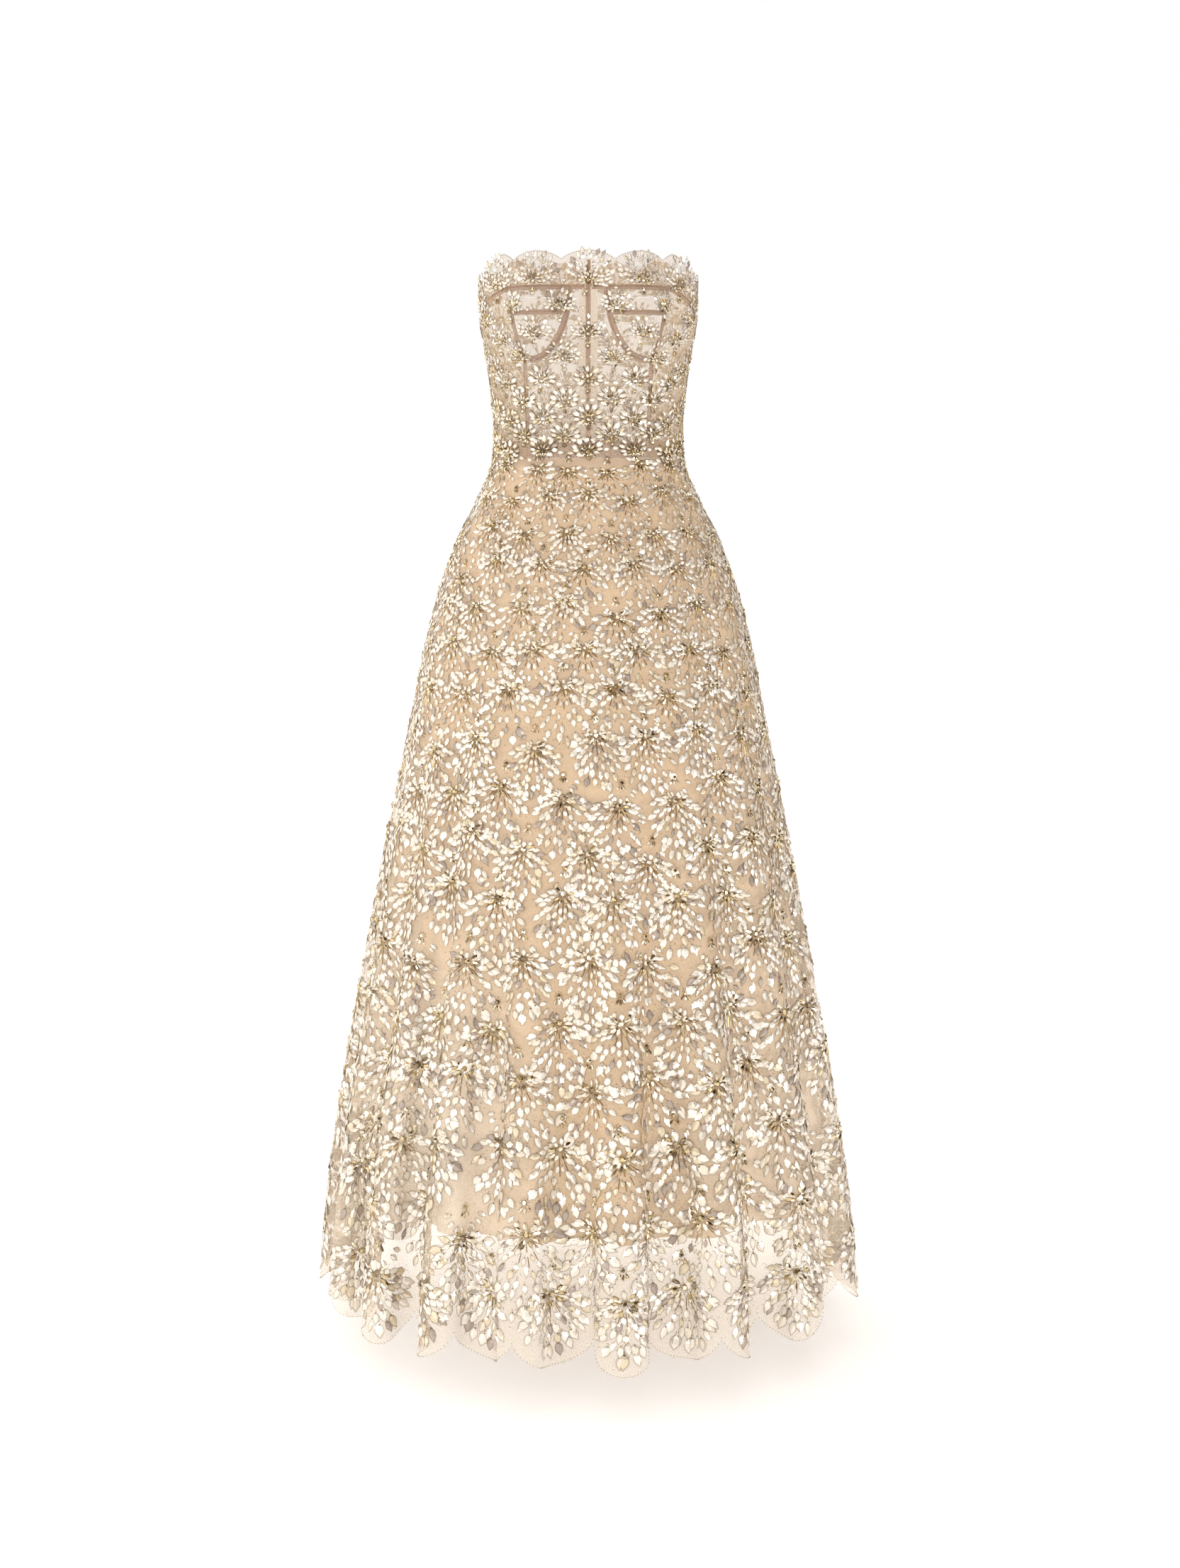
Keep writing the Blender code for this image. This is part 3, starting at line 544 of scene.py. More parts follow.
def neck_z(t):
    """The scalloped top edge, which dips under the arms."""
    lobe = NECK_LOBE * np.abs(np.cos(NECK_LOBES * t / 2)) ** LOBE_SHARPNESS
    start = princess_x(BAND_SEAM_Z) / body("half_width", BAND_SEAM_Z)
    aside = np.clip((np.abs(np.sin(t)) - start) / (1 - start), 0, 1)
    return NECK_VALLEY_Z + lobe - NECK_DIP * aside**NECK_DIP_SHARPNESS


def band_z(t):
    """The seam under the neckline band, which dips between the princess and the back seams."""
    start = turn_at(princess_x(BAND_SEAM_Z), BAND_SEAM_Z)
    return BAND_SEAM_Z - np.interp(np.abs(t), (start, SIDE_TURN, BACK_SEAM_TURN), (0, BAND_DIP, 0))


def front_edge(points):
    """(turn, z) of points given as (x, z) on the front."""
    return [(float(turn_at(x, z)), z) for x, z in points]


def upright(turn, low, high, count):
    """A straight edge at one turn."""
    return [(turn, z) for z in np.linspace(low, high, count)]


def bodice_sheet(name, left, right, columns, finish, flip):
    """A panel between two edges, each a list of (turn, z) from the bottom to the top."""
    left, right = np.array(left, float), np.array(right, float)
    if flip:
        left, right = right * (-1, 1), left * (-1, 1)
    rows = len(left) - 1

    def place(across, up):
        row = np.round(up * rows).astype(int)
        spot = left[row] * (1 - across[:, None]) + right[row] * across[:, None]
        return bodice_point(spot[:, 0], spot[:, 1])

    sheet_of_cloth(f"{name}_cloth", columns, rows, place, finish, name)


# Clear net for the middle, and a pale pink power mesh, with a third of the light let through,
# for the sides, where it holds the figure.
sheer_finish = net_finish("bodice net", "#D6C6B1", 0.25, 1.6, 0.30, (0.105, 0.125))
band_finish = net_finish("doubled neckline net", "#BCA488", 0.37, 1.6)
mesh_finish = net_finish("power mesh", "#CBB598", 0.38, 1.2)

bodice = bodice_cloth()
half = SEAM / 2
cup_half = CUP_SEAM / 2
low = half
high = BAND_SEAM_Z - cup_half
high_aside = float(band_z(SIDE_TURN)) - cup_half
wire_turns = np.concatenate([np.linspace(2, UPPER_CUP_TURN, 22), [78, 82, 86, 90]])
split = 21
outside_wire = wire_points(wire_turns, cup_half)
outside_wire[-1, 1] = high
waist_to_wire = [(princess_x(z) - half, z) for z in np.linspace(low, UNDERBUST_Z - half, 12)]
centre_right = front_edge([*waist_to_wire, *outside_wire])
centre_lengths = lengths_along(bodice_point(*np.array(centre_right).T))
centre_left = front_edge([(half, low + (high - low) * k) for k in centre_lengths / centre_lengths[-1]])
inside_wire = wire_points(wire_turns, -cup_half)
inside_wire[-1, 1] = high
lower_wire = inside_wire[: split + 1].copy()
lower_wire[-1, 1] = UPPER_CUP_Z - half
upper_wire = inside_wire[split:].copy()
upper_wire[0, 1] = UPPER_CUP_Z + half
lower_cup = front_edge(lower_wire)
upper_cup = front_edge(upper_wire)
side_heights = np.linspace(low, high, 28)
princess_outside = front_edge([(princess_x(z) + half, z) for z in side_heights])
quarter_gap = half / BODICE_RADIUS
back_half = ZIP_SLOT_HALF / BODICE_RADIUS * 0.75
cup_sides = [front_edge([(princess_x(z) - half, z) for _, z in edge]) for edge in (lower_cup, upper_cup)]
side_seam = [upright(SIDE_TURN + k * quarter_gap, low, high_aside, 28) for k in (-1, 1)]
back_seam = [upright(BACK_SEAM_TURN + k * quarter_gap, low, high, 28) for k in (-1, 1)]
clear = (sheer_finish, "sheer_net")
close = (mesh_finish, "side_mesh")
panels = (
    ("centre_front", centre_left, centre_right, 20, *clear),
    ("lower_cup", lower_cup, cup_sides[0], 18, *clear),
    ("upper_cup", upper_cup, cup_sides[1], 18, *clear),
    ("side_front", princess_outside, side_seam[0], 14, *close),
    ("side_back", side_seam[1], back_seam[0], 16, *close),
    ("back", back_seam[1], upright(math.pi - back_half, low, high, 28), 16, *close),
)
for side, flip in (("right", False), ("left", True)):
    for piece, left, right, columns, finish, slot in panels:
        bodice_sheet(f"bodice_{piece}_{side}", left, right, columns, finish, flip)
    for piece, start, end in (
        ("front", quarter_gap, SIDE_TURN - quarter_gap),
        ("back", SIDE_TURN + quarter_gap, math.pi - back_half),
    ):

        def place(across, up, start=start, end=end, way=-1 if flip else 1):
            turn = start + (end - start) * (1 - across if flip else across)
            bottom = band_z(turn) + cup_half
            return bodice_point(turn * way, bottom + (neck_z(turn) - bottom) * up)

        name = f"neckline_band_{piece}_{side}"
        sheet_of_cloth(f"{name}_cloth", 52, 7, place, band_finish, name)

# Casings of matt nude ribbon, 6 mm wide, are sewn inside over the seams and hold flat bones, and
# a wider ribbon holds the waist. All of them show through the net as darker lines.
CASING_HALF = 0.0030
UNDER_CLOTH = 0.0020
UNDER_CUP = 0.0026
CASING_THICK = 0.0010
CASING_TOP_Z = 0.2335
WAISTBAND_TOP = 0.0200
RIBBON_THICK = 0.0015
# Across a casing: how far out, as a share of its half width, and the rise over the bone inside.
CASING_ACROSS = (-1.0, -0.72, -0.45, 0.0, 0.45, 0.72, 1.0)
CASING_RISE = (0.0, 0.05, 0.8, 1.0, 0.8, 0.05, 0.0)
BONE_RISE = 0.0005


def woven_finish(name, dark, light, direction, scale, relief, sheen, roughness):
    """Two shades in fine bands over a ribbon's map, which stand up by their relief."""
    made, tree, surface = new_finish(name)
    cloth_map = add_node(tree, "UVMap", uv_map="cloth")
    bands = {"Vector": cloth_map, "Scale": scale}
    ribs = add_node(tree, "TexWave", bands, wave_type="BANDS", bands_direction=direction).outputs["Fac"]
    tint = add_node(tree, "ValToRGB", {0: ribs}, stops=((0.0, dark), (1.0, light)))
    raised = add_node(tree, "Bump", {"Height": ribs, "Strength": relief, "Distance": 0.0002})
    weave = {"Base Color": tint, "Roughness": roughness, "Sheen Weight": sheen, "Normal": raised}
    add_node(tree, "BsdfPrincipled", weave, surface)
    return made


# Woven viscose ribbon: matt, with ribs of 0.7 mm across it.
ribbon_finish = woven_finish("nude grosgrain", "#6C4430", "#845A41", "Y", 450.0, 0.3, 0.2, 0.75)


def woven_strip(name, outer, inner, across_m, along_m, finish, node):
    """A closed strip between two faces, each a grid of points, with its UV map in metres."""
    rows, columns = outer.shape[:2]
    bm = bmesh.new()
    bmesh.ops.create_grid(bm, x_segments=columns - 1, y_segments=rows - 1, size=1)
    place = bm.verts.layers.int.new("place")
    map_layer = bm.loops.layers.uv.new("cloth")
    for vert in bm.verts:
        i = round((vert.co.x + 1) / 2 * (columns - 1))
        j = round((vert.co.y + 1) / 2 * (rows - 1))
        vert[place] = j * columns + i
        for loop in vert.link_loops:
            loop[map_layer].uv = (across_m[i], along_m[j])
    outer_verts = list(bm.verts)
    made = bmesh.ops.extrude_face_region(bm, geom=bm.faces[:], use_keep_orig=True)
    inner_verts = [item for item in made["geom"] if isinstance(item, bmesh.types.BMVert)]
    for verts, points in ((outer_verts, outer), (inner_verts, inner)):
        for vert in verts:
            vert.co = points.reshape(-1, 3)[vert[place]]
    bmesh.ops.recalc_face_normals(bm, faces=bm.faces)
    if bm.calc_volume(signed=True) < 0:
        bmesh.ops.reverse_faces(bm, faces=bm.faces)
    piece = finished(name, bm, finish)
    piece.data.set_sharp_from_angle(angle=math.radians(50))
    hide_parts(node)


def ribbon(node, path, near, half_width, thick, across=CASING_ACROSS, rise=CASING_RISE):
    """A ribbon under the bodice's cloth along a path of (turn, z), raised over its bone."""
    path = np.array(path, float)
    lengths = lengths_along(bodice_point(*path.T))
    even = np.linspace(0, lengths[-1], max(8, round(lengths[-1] / 0.004)))
    path = np.stack([np.interp(even, lengths, path[:, i]) for i in (0, 1)], axis=-1)
    wide = body("half_width", path[:, 1])
    flat = np.stack([path[:, 0] * wide, path[:, 1]], axis=-1)
    run = unit(np.gradient(flat, axis=0))
    aside = np.stack([-run[:, 1], run[:, 0]], axis=-1)
    grid = flat[:, None] + aside[:, None] * (np.array(across) * half_width)[None, :, None]
    face, _, _, out, _, _ = bodice.frame(grid[..., 0] / wide[:, None], grid[..., 1])
    outer = face - out * (near - (np.array(rise) * BONE_RISE)[None, :, None])
    inner = face - out * (near + thick)
    across_m = np.array(across) * half_width
    woven_strip(f"{node}_ribbon", outer, inner, across_m, even, ribbon_finish, node)


gap = CASING_HALF + SEAM
over_band = WAISTBAND_TOP + SEAM
centre_run = upright(0.0, over_band, CASING_TOP_Z, 20)
ribbon("casing_centre_front", centre_run, UNDER_CLOTH, CASING_HALF, CASING_THICK)
princess_run = front_edge([(princess_x(z), z) for z in np.linspace(over_band, UPPER_CUP_Z + CASING_HALF, 24)])
wire_run = front_edge(wire_points(np.linspace(4, 76, 30)))
wire_run.append(front_edge([(WIRE_TOP_X, BAND_SEAM_Z - gap)])[0])
cup_from = wire_points([UPPER_CUP_TURN])[0][0] + gap + 0.0008
cup_to = princess_x(UPPER_CUP_Z) - gap
cup_run = front_edge([(x, UPPER_CUP_Z) for x in np.linspace(cup_from, cup_to, 12)])
band_run = [(t, float(band_z(t))) for t in np.linspace(turn_at(0.004, BAND_SEAM_Z), SIDE_TURN, 30)]
for side, way in (("right", 1), ("left", -1)):
    for node, run in (
        ("casing_princess", princess_run),
        ("casing_wire", wire_run),
        ("tape_upper_cup", cup_run),
        ("tape_neckline", band_run),
    ):
        path = run if way > 0 else [(-t, z) for t, z in run][::-1]
        ribbon(f"{node}_{side}", path, UNDER_CUP, CASING_HALF, CASING_THICK)
band_end = math.pi - (ZIP_TAPE_HALF + SEAM * 2) / body("half_width", WAISTBAND_TOP)
ribbon(
    "waistband",
    [(t, (WAISTBAND_TOP + SEAM) / 2) for t in np.linspace(-band_end, band_end, 90)],
    UNDER_CLOTH,
    (WAISTBAND_TOP - SEAM) / 2,
    RIBBON_THICK,
    (-1.0, -0.9, 0.0, 0.9, 1.0),
    (0.0, 0.6, 0.3, 0.6, 0.0),
)

# The zip is a fine concealed one at the centre back: a woven tape on each side of the slot, a
# nylon coil behind it, and an enamelled slider with its pull tab at the top.
ZIP_TOP_Z = 0.2330
ZIP_TAPE_THICK = 0.0008
# Across a tape, as a share of its half width.
TAPE_ACROSS = (-1, -0.8, 0, 0.8, 1)
COIL_TOP_Z = 0.2237
COIL_PITCH = 0.0014
TOOTH = (0.0030, 0.0011, COIL_PITCH * 0.62)
TEETH_IN = UNDER_CLOTH + ZIP_TAPE_THICK + 0.0010
# Woven polyester tape in ivory, with a fine twill across it.
tape_finish = woven_finish("zip tape twill", "#E9DED2", "#F7F0E8", "DIAGONAL", 400.0, 0.0, 0.0, 0.7)
for side, way in (("right", 1), ("left", -1)):
    rows = np.linspace(ZIP_FOOT_Z, ZIP_TOP_Z, 60)
    middle = (ZIP_TAPE_HALF + ZIP_SLOT_HALF) / 2
    reach = (ZIP_TAPE_HALF - ZIP_SLOT_HALF) / 2
    wide = body("half_width", rows)
    tape_turns = np.stack([(math.pi - (middle - k * reach) / wide) * way for k in TAPE_ACROSS], axis=-1)
    face = bodice_point(tape_turns, np.repeat(rows[:, None], len(TAPE_ACROSS), axis=1))
    outer = face - np.array([0.0, UNDER_CLOTH, 0.0])
    inner = face - np.array([0.0, UNDER_CLOTH + ZIP_TAPE_THICK * 0.8, 0.0])
    across_m = np.array(TAPE_ACROSS) * reach
    node = f"zip_tape_{side}"
    woven_strip(f"{node}_twill", outer, inner, across_m, rows, tape_finish, node)

# Moulded nylon, a little glossy: each tooth of the coil is a short bar.
coil_finish, tree, surface = new_finish("nylon coil")
add_node(tree, "BsdfPrincipled", {"Base Color": srgb("#D8C3AC"), "Roughness": 0.35}, surface)
bm = bmesh.new()
for z in np.arange(ZIP_FOOT_Z, COIL_TOP_Z, COIL_PITCH):
    made = bmesh.ops.create_cube(bm, size=1.0)
    face_y = float(bodice_point(np.array(math.pi), np.array(z))[1])
    bmesh.ops.scale(bm, verts=made["verts"], vec=TOOTH)
    bmesh.ops.translate(bm, verts=made["verts"], vec=(0, face_y - TEETH_IN, z))
coil = finished("zip_coil_teeth", bm, coil_finish, flat=True)
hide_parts("zip_coil")

# Cast zinc under a thin enamel that is polished unevenly by use.
slider_finish, tree, surface = new_finish("enamelled zinc")
place = add_node(tree, "TexCoord").outputs["Object"]
worn = add_node(tree, "TexNoise", {"Vector": place, "Scale": 400.0})
polish = add_node(tree, "MapRange", {0: worn, "To Min": 0.22, "To Max": 0.42})
enamel = {"Base Color": srgb("#DCCBB4"), "Roughness": polish, "Coat Weight": 0.4, "Metallic": 0.2}
add_node(tree, "BsdfPrincipled", enamel, surface)
for node in ("zip_slider", "zip_pull"):
    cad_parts[node].data.materials.clear()
    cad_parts[node].data.materials.append(slider_finish)

# The embroidery is worked by hand on the net: creased leaf sequins, foil-backed crystals, gold
# bugles and seed beads, set as fans that open down the skirt and up the bodice, in a half drop.
SEED = 7
# The material of a part reads its tone and its own outline from this map: a strip of tones side
# by side, with the part drawn once in each, so that one small image can hold them all.
TONE_MAP = "OFBake"
TONES = 8
TONE_REACH = 0.40
LEAF_SHOULDER = 0.28


def outline_of(bm):
    """A bmesh as arrays: its points, its faces' corners, and where each face starts."""
    bm.verts.index_update()
    points = np.array([vert.co for vert in bm.verts])
    corners = np.array([vert.index for face in bm.faces for vert in face.verts])
    sizes = np.array([len(face.verts) for face in bm.faces])
    bm.free()
    return points, corners, np.concatenate([[0], np.cumsum(sizes)[:-1]])


def leaf_sequin():
    """A leaf of unit half length and half width, creased from tip to tip, with a flat back."""
    bm = bmesh.new()
    bmesh.ops.create_grid(bm, x_segments=2, y_segments=3, size=1)
    for vert in bm.verts:
        tip = abs(vert.co.y) > 0.9
        crease = abs(vert.co.x) < 0.1
        vert.co.z = 0.0 if tip or not crease else 1.0
        vert.co.x *= 0.0 if tip else 1.0
        vert.co.y *= 1.0 if tip else 3 * LEAF_SHOULDER
    bmesh.ops.remove_doubles(bm, verts=bm.verts, dist=1e-4)
    bmesh.ops.holes_fill(bm, edges=[edge for edge in bm.edges if edge.is_boundary])
    bmesh.ops.recalc_face_normals(bm, faces=bm.faces)
    return outline_of(bm)


def cut_crystal(sides):
    """A crystal of unit radius with a flat table and a ring of facets."""
    bm = bmesh.new()
    bmesh.ops.create_cone(bm, cap_ends=True, segments=sides, radius1=1.0, radius2=0.5, depth=0.5)
    bmesh.ops.translate(bm, verts=bm.verts, vec=(0, 0, 0.25))
    return outline_of(bm)


def seed_bead():
    bm = bmesh.new()
    bmesh.ops.create_uvsphere(bm, u_segments=3, v_segments=2, radius=1.0)
    return outline_of(bm)


def bugle_bead():
    bm = bmesh.new()
    bmesh.ops.create_cone(bm, cap_ends=True, segments=3, radius1=1.0, radius2=1.0, depth=2.0)
    bmesh.ops.rotate(bm, verts=bm.verts, matrix=Matrix.Rotation(math.pi / 2, 3, "X"))
    return outline_of(bm)


# A place for one small part: where its fan is, how far it lies from it to the right and along
# the fan, which way it points from the fan's own direction, its half length, half width and
# height, how far it stands off the cloth, how it leans and rolls, and its tone.
SPOT_COLUMNS = "turn z across along angle length width height lift lean roll tone".split()
FAN_TILT = 0.10
FAN_WIDEST = math.radians(107)
FAN_NARROWING = 0.06
FAN_WAIST = 1.2
FAN_SPREAD = 1.35
SEQUIN_WIDTH = 0.50
SEQUIN_WIDTHS = (0.86, 1.0, 1.2)
SEQUIN_CREASE = 0.062
SEQUIN_LIFT = 0.0008
SEQUIN_LEAN = 0.05
# A sequin's length, as a share of the outer ones', at the fan's middle and for each unit outward.
SEQUIN_SHORTEST = 0.46
SEQUIN_GROWTH = 0.66
# Where the bead that locks a sequin sits from its middle, as a share of its length.
LOCK_AT = 0.54
# How far hand work strays: round the fan, outward, in direction, in length, in lean and in roll.
STRAY_ROUND = 0.05
STRAY_FAR = 0.035
STRAY_ANGLE = 0.10
STRAY_LENGTH = 0.09
STRAY_LEAN = 0.08
STRAY_ROLL = 0.14
SEQUINS_LOST = 0.04
DOTS_FROM = 0.35
DOTS_TO = 1.14
PETALS = 8
PETALS_WIDEST = 126
LOCK_BEAD = 0.00075
GOLD_BEAD = 0.0009
BUGLE_RADIUS = 0.0006
EDGE_BEAD_IN = 0.0012
EDGE_BEAD_LIFT = 0.0006


def fan(tray, rng, turn, z, half_width, reach, leaf, gem, rings, back_gap, dots, link=0.0, sprig=0):
    """One fan: a crystal cluster, rings of leaf sequins that open from it, each locked with a
    bead, a scatter of dots, and a small pendant behind it. leaf is the outer sequins' length, gem
    the middle crystal's width, and rings has a share of the reach and a count for each ring.
    link is how far the next fan is, where level sequins link them, and sprig is how many sequins
    the small cluster behind the fan has."""
    tilt = rng.normal(0, FAN_TILT)
    turned = (math.cos(tilt), math.sin(tilt))

    def put(kind, across, along, angle, length, width, height, lift=0.0007, lean=0.0, roll=0.0, tone=0.0):
        across, along = across * turned[0] + along * turned[1], along * turned[0] - across * turned[1]
        values = (turn, z, across, along, angle + tilt, length, width, height, lift, lean, roll, tone)
        values = np.stack(np.broadcast_arrays(*values), axis=-1)
        tray.setdefault(kind, []).append(values.reshape(-1, len(SPOT_COLUMNS)))

    def beads(kind, across, along, angle, radius):
        put(kind, across, along, angle, radius, radius, radius)

    def round_stone(behind, wide, lift):
        put("round_crystals", 0.0, -behind, rng.random() * 3, wide / 2, wide / 2, wide * 0.6, lift,
            rng.normal(0, 0.10), rng.normal(0, 0.10), rng.random())

    def spread(theta, far):
        """How far right and along a part lies at an angle and a share of the reach."""
        radius = np.cos(theta / 2) ** FAN_WAIST * far
        return FAN_SPREAD * half_width * np.sin(theta) * radius, reach * np.cos(theta) * radius

    def at(far, theta, behind=0.0):
        """How far right and along a part lies at a distance and an angle, and that angle."""
        return far * np.sin(theta), far * np.cos(theta) - behind, theta

    for number, (share, count) in enumerate(rings):
        # Each ring opens a little less wide than the one inside it.
        widest = FAN_WIDEST * (1 - FAN_NARROWING * number)
        theta = np.linspace(-widest, widest, count) + rng.normal(0, STRAY_ROUND, count)
        far = share * (1 + rng.normal(0, STRAY_FAR, count))
        across, along = spread(theta, far)
        angle = np.arctan2(across, along) + rng.normal(0, STRAY_ANGLE, count)
        length = leaf * (SEQUIN_SHORTEST + SEQUIN_GROWTH * share) * (1 + rng.normal(0, STRAY_LENGTH, count))
        lean = rng.normal(SEQUIN_LEAN, STRAY_LEAN, count)
        roll = rng.normal(0, STRAY_ROLL, count)
        tone = rng.random(count)
        kept = rng.random(count) > SEQUINS_LOST
        across, along, angle, length = across[kept], along[kept], angle[kept], length[kept]
        wide = length * SEQUIN_WIDTH * rng.choice(SEQUIN_WIDTHS, len(length))
        put("sequins", across, along, angle, length / 2, wide / 2, length * SEQUIN_CREASE, SEQUIN_LIFT,
            lean[kept], roll[kept], tone[kept])
        lock = length * (LOCK_AT if number % 2 else -LOCK_AT)
        beads("lock_beads", across + np.sin(angle) * lock, along + np.cos(angle) * lock, angle, LOCK_BEAD)
        theta = (theta[1:] + theta[:-1]) / 2
        across, along = spread(theta, share * 1.05)
        if number == 0:
            put("bugles", across, along, np.arctan2(across, along), leaf * 0.34, BUGLE_RADIUS, BUGLE_RADIUS)
        elif number % 2:
            beads("lock_beads", across, along, theta, LOCK_BEAD)

    if link:
        put("sequins", np.array([0.40, 0.60]) * link, 0.0, math.pi / 2, leaf * 0.42, leaf * 0.21,
            leaf * SEQUIN_CREASE, SEQUIN_LIFT, SEQUIN_LEAN, rng.normal(0, 0.2, 2), rng.random(2))
        beads("lock_beads", link / 2, 0.0, 0.0, LOCK_BEAD)

    theta = rng.uniform(-FAN_WIDEST, FAN_WIDEST, dots)
    across, along = spread(theta, rng.uniform(DOTS_FROM, DOTS_TO, dots))
    beads("lock_beads", across, along, theta, LOCK_BEAD)

    # The cluster has a round stone in a ring of gold beads, and leaf stones with rays between.
    theta = np.radians(np.linspace(-PETALS_WIDEST, PETALS_WIDEST, PETALS)) + rng.normal(0, 0.06, PETALS)
    length = gem * 1.25 * (1 + rng.normal(0, 0.10, PETALS))
    far = gem * 0.66 + length / 2
    put("leaf_crystals", *at(far, theta), length / 2, length * 0.24, length * 0.26, 0.0010,
        rng.normal(0, 0.12, PETALS), rng.normal(0, 0.16, PETALS), rng.random(PETALS))
    round_stone(0.0, gem, 0.0013)
    between = (theta[1:] + theta[:-1]) / 2
    put("bugles", *at(gem * 1.75, between), gem * 0.5, BUGLE_RADIUS, BUGLE_RADIUS)
    all_round = np.linspace(0, 2 * math.pi, 12, endpoint=False)
    for far, angles in ((0.62, all_round), (1.15, between), (2.0, theta)):
        beads("gold_beads", *at(far * gem, angles), GOLD_BEAD)

    # The sprig behind it has a small round stone in gold, three leaf stones and small sequins.
    drop = gem * 0.74
    round_stone(back_gap, drop, 0.0012)
    theta = np.radians([-30, 0, 30])
    put("leaf_crystals", *at(drop * 1.3, theta, back_gap), drop * 0.65, drop * 0.28, drop * 0.3, 0.0010,
        0.0, rng.normal(0, 0.2, 3), rng.random(3))
    if sprig:
        theta = np.linspace(-1.2, 1.2, sprig) + rng.normal(0, 0.08, sprig)
        far = leaf * (0.85 + 0.30 * np.cos(theta)) + drop
        put("sequins", *at(far, theta, back_gap), leaf * 0.34, leaf * 0.17, leaf * SEQUIN_CREASE,
            SEQUIN_LIFT, 0.04, rng.normal(0, 0.15, sprig), rng.random(sprig))
    theta = np.linspace(0, 2 * math.pi, 8, endpoint=False)
    beads("gold_beads", *at(drop * 0.75, theta, back_gap), GOLD_BEAD)


PULL_FOOT_Z = 0.19
CLEAR_OF_PULL = 0.0075
CLEAR_OF_SLOT = 0.004
CLEAR_OF_SEAM = 0.0015


def clear_of_zip(turn, z, across):
    """No part crosses the zip's slot, and none lies near the slider and its pull tab. Half of the
    way round is 1 on the skirt's cloth and pi on the bodice's."""
    whole = 1.0 if z.max() < 0.01 else math.pi
    from_back = (whole - np.abs((turn + whole) % (2 * whole) - whole)) * across
    clear = np.where(z > ZIP_FOOT_Z, CLEAR_OF_SLOT, CLEAR_OF_SEAM)
    return from_back > np.where(z > PULL_FOOT_Z, CLEAR_OF_PULL, clear)


def sewn_on(name, cloth, way, shape, places, finish):
    """All the parts of one kind as one mesh, each put on the cloth at its own place. way is 1
    where fans open upward and -1 where they open downward."""
    v = dict(zip(SPOT_COLUMNS, np.concatenate(places).T))
    high = cloth.frame(v["turn"], v["z"])[5]
    z = v["z"] + way * v["along"] / high
    turn = v["turn"] + v["across"] / cloth.frame(v["turn"], z)[4]
    point, right, up, out, across, _ = cloth.frame(turn, z)
    kept = clear_of_zip(turn, z, across)
    point, right, up, out = point[kept], right[kept], up[kept], out[kept]
    v = {key: values[kept][:, None] for key, values in v.items()}
    along = right * np.sin(v["angle"]) + way * up * np.cos(v["angle"])
    cos, sin = np.cos(v["lean"]), np.sin(v["lean"])
    along, facing = along * cos + out * sin, out * cos - along * sin
    side = np.cross(along, facing)
    cos, sin = np.cos(v["roll"]), np.sin(v["roll"])
    side, facing = side * cos + facing * sin, facing * cos - side * sin
    points, corners, starts = shape
    placed = (
        (point + out * v["lift"])[:, None]
        + side[:, None] * (points[:, 0] * v["width"])[..., None]
        + along[:, None] * (points[:, 1] * v["length"])[..., None]
        + facing[:, None] * (points[:, 2] * v["height"])[..., None]
    )
    each = np.arange(len(point))[:, None]
    corners_of_all = (corners + len(points) * each).ravel()
    starts_of_all = (starts + len(corners) * each).ravel()
    mesh = bpy.data.meshes.new(name)
    mesh.vertices.add(len(point) * len(points))
    mesh.vertices.foreach_set("co", placed.ravel())
    mesh.loops.add(len(corners_of_all))
    mesh.loops.foreach_set("vertex_index", corners_of_all.astype(np.int32))
    mesh.polygons.add(len(starts_of_all))
    mesh.polygons.foreach_set("loop_start", starts_of_all.astype(np.int32))
    tones = mesh.uv_layers.new(name=TONE_MAP)
    cell = np.floor(v["tone"] * TONES)
    x = points[corners, 0] + 0.1 * points[corners, 2]
    y = points[corners, 1] + 0.1 * points[corners, 2]
    u = (cell + 0.5 + TONE_REACH * x) / TONES
    w = 0.5 + TONE_REACH * y + 0 * u
    tones.uv.foreach_set("vector", np.stack([u, w], axis=-1).ravel().astype(np.float32))
    mesh.update(calc_edges=True)
    mesh.validate()
    finished(name, mesh, finish, flat=True)


# Creased plastic leaves with a pearl film: most are ivory and silver, and some are smoked, so that one half
# flashes white while the other stays dark. Each has a darker rim, partly its own cut edge and partly painted
# shade where the sequins overlap, and a hole of 0.9 mm near its foot, with the bronze thread in it.
sequin_finish, tree, surface = new_finish("pearl sequin film")
tones = add_node(tree, "UVMap", uv_map=TONE_MAP)
parts = add_node(tree, "SeparateXYZ", {0: tones})
# Each step has its name, what it does, and what it takes: an earlier step or a number.
steps = (
    ("strip", "MULTIPLY", "u", TONES),
    ("cell", "FLOOR", "strip"),
    ("tone", "DIVIDE", "cell", TONES),
    ("in the cell", "FRACT", "strip"),
    ("from its middle", "SUBTRACT", "in the cell", 0.5),
    ("aside", "DIVIDE", "from its middle", TONE_REACH),
    ("across", "ABSOLUTE", "aside"),
    ("upward", "SUBTRACT", "v", 0.5),
    ("along", "DIVIDE", "upward", TONE_REACH),
    ("either way", "ABSOLUTE", "along"),
    ("past the shoulder", "SUBTRACT", "either way", LEAF_SHOULDER),
    ("its share", "DIVIDE", "past the shoulder", 1 - LEAF_SHOULDER),
    ("taper", "MAXIMUM", "its share", 0.0),
    ("to the edge", "ADD", "taper", "across"),
    ("above the hole", "ADD", "along", 0.62),
    ("aside from it", "MULTIPLY", "across", SEQUIN_WIDTH),
    ("above squared", "POWER", "above the hole", 2.0),
    ("aside squared", "POWER", "aside from it", 2.0),
    ("from the hole", "ADD", "above squared", "aside squared"),
    ("hole", "LESS_THAN", "from the hole", 0.012),
)
values = {"u": parts.outputs[0], "v": parts.outputs[1]}
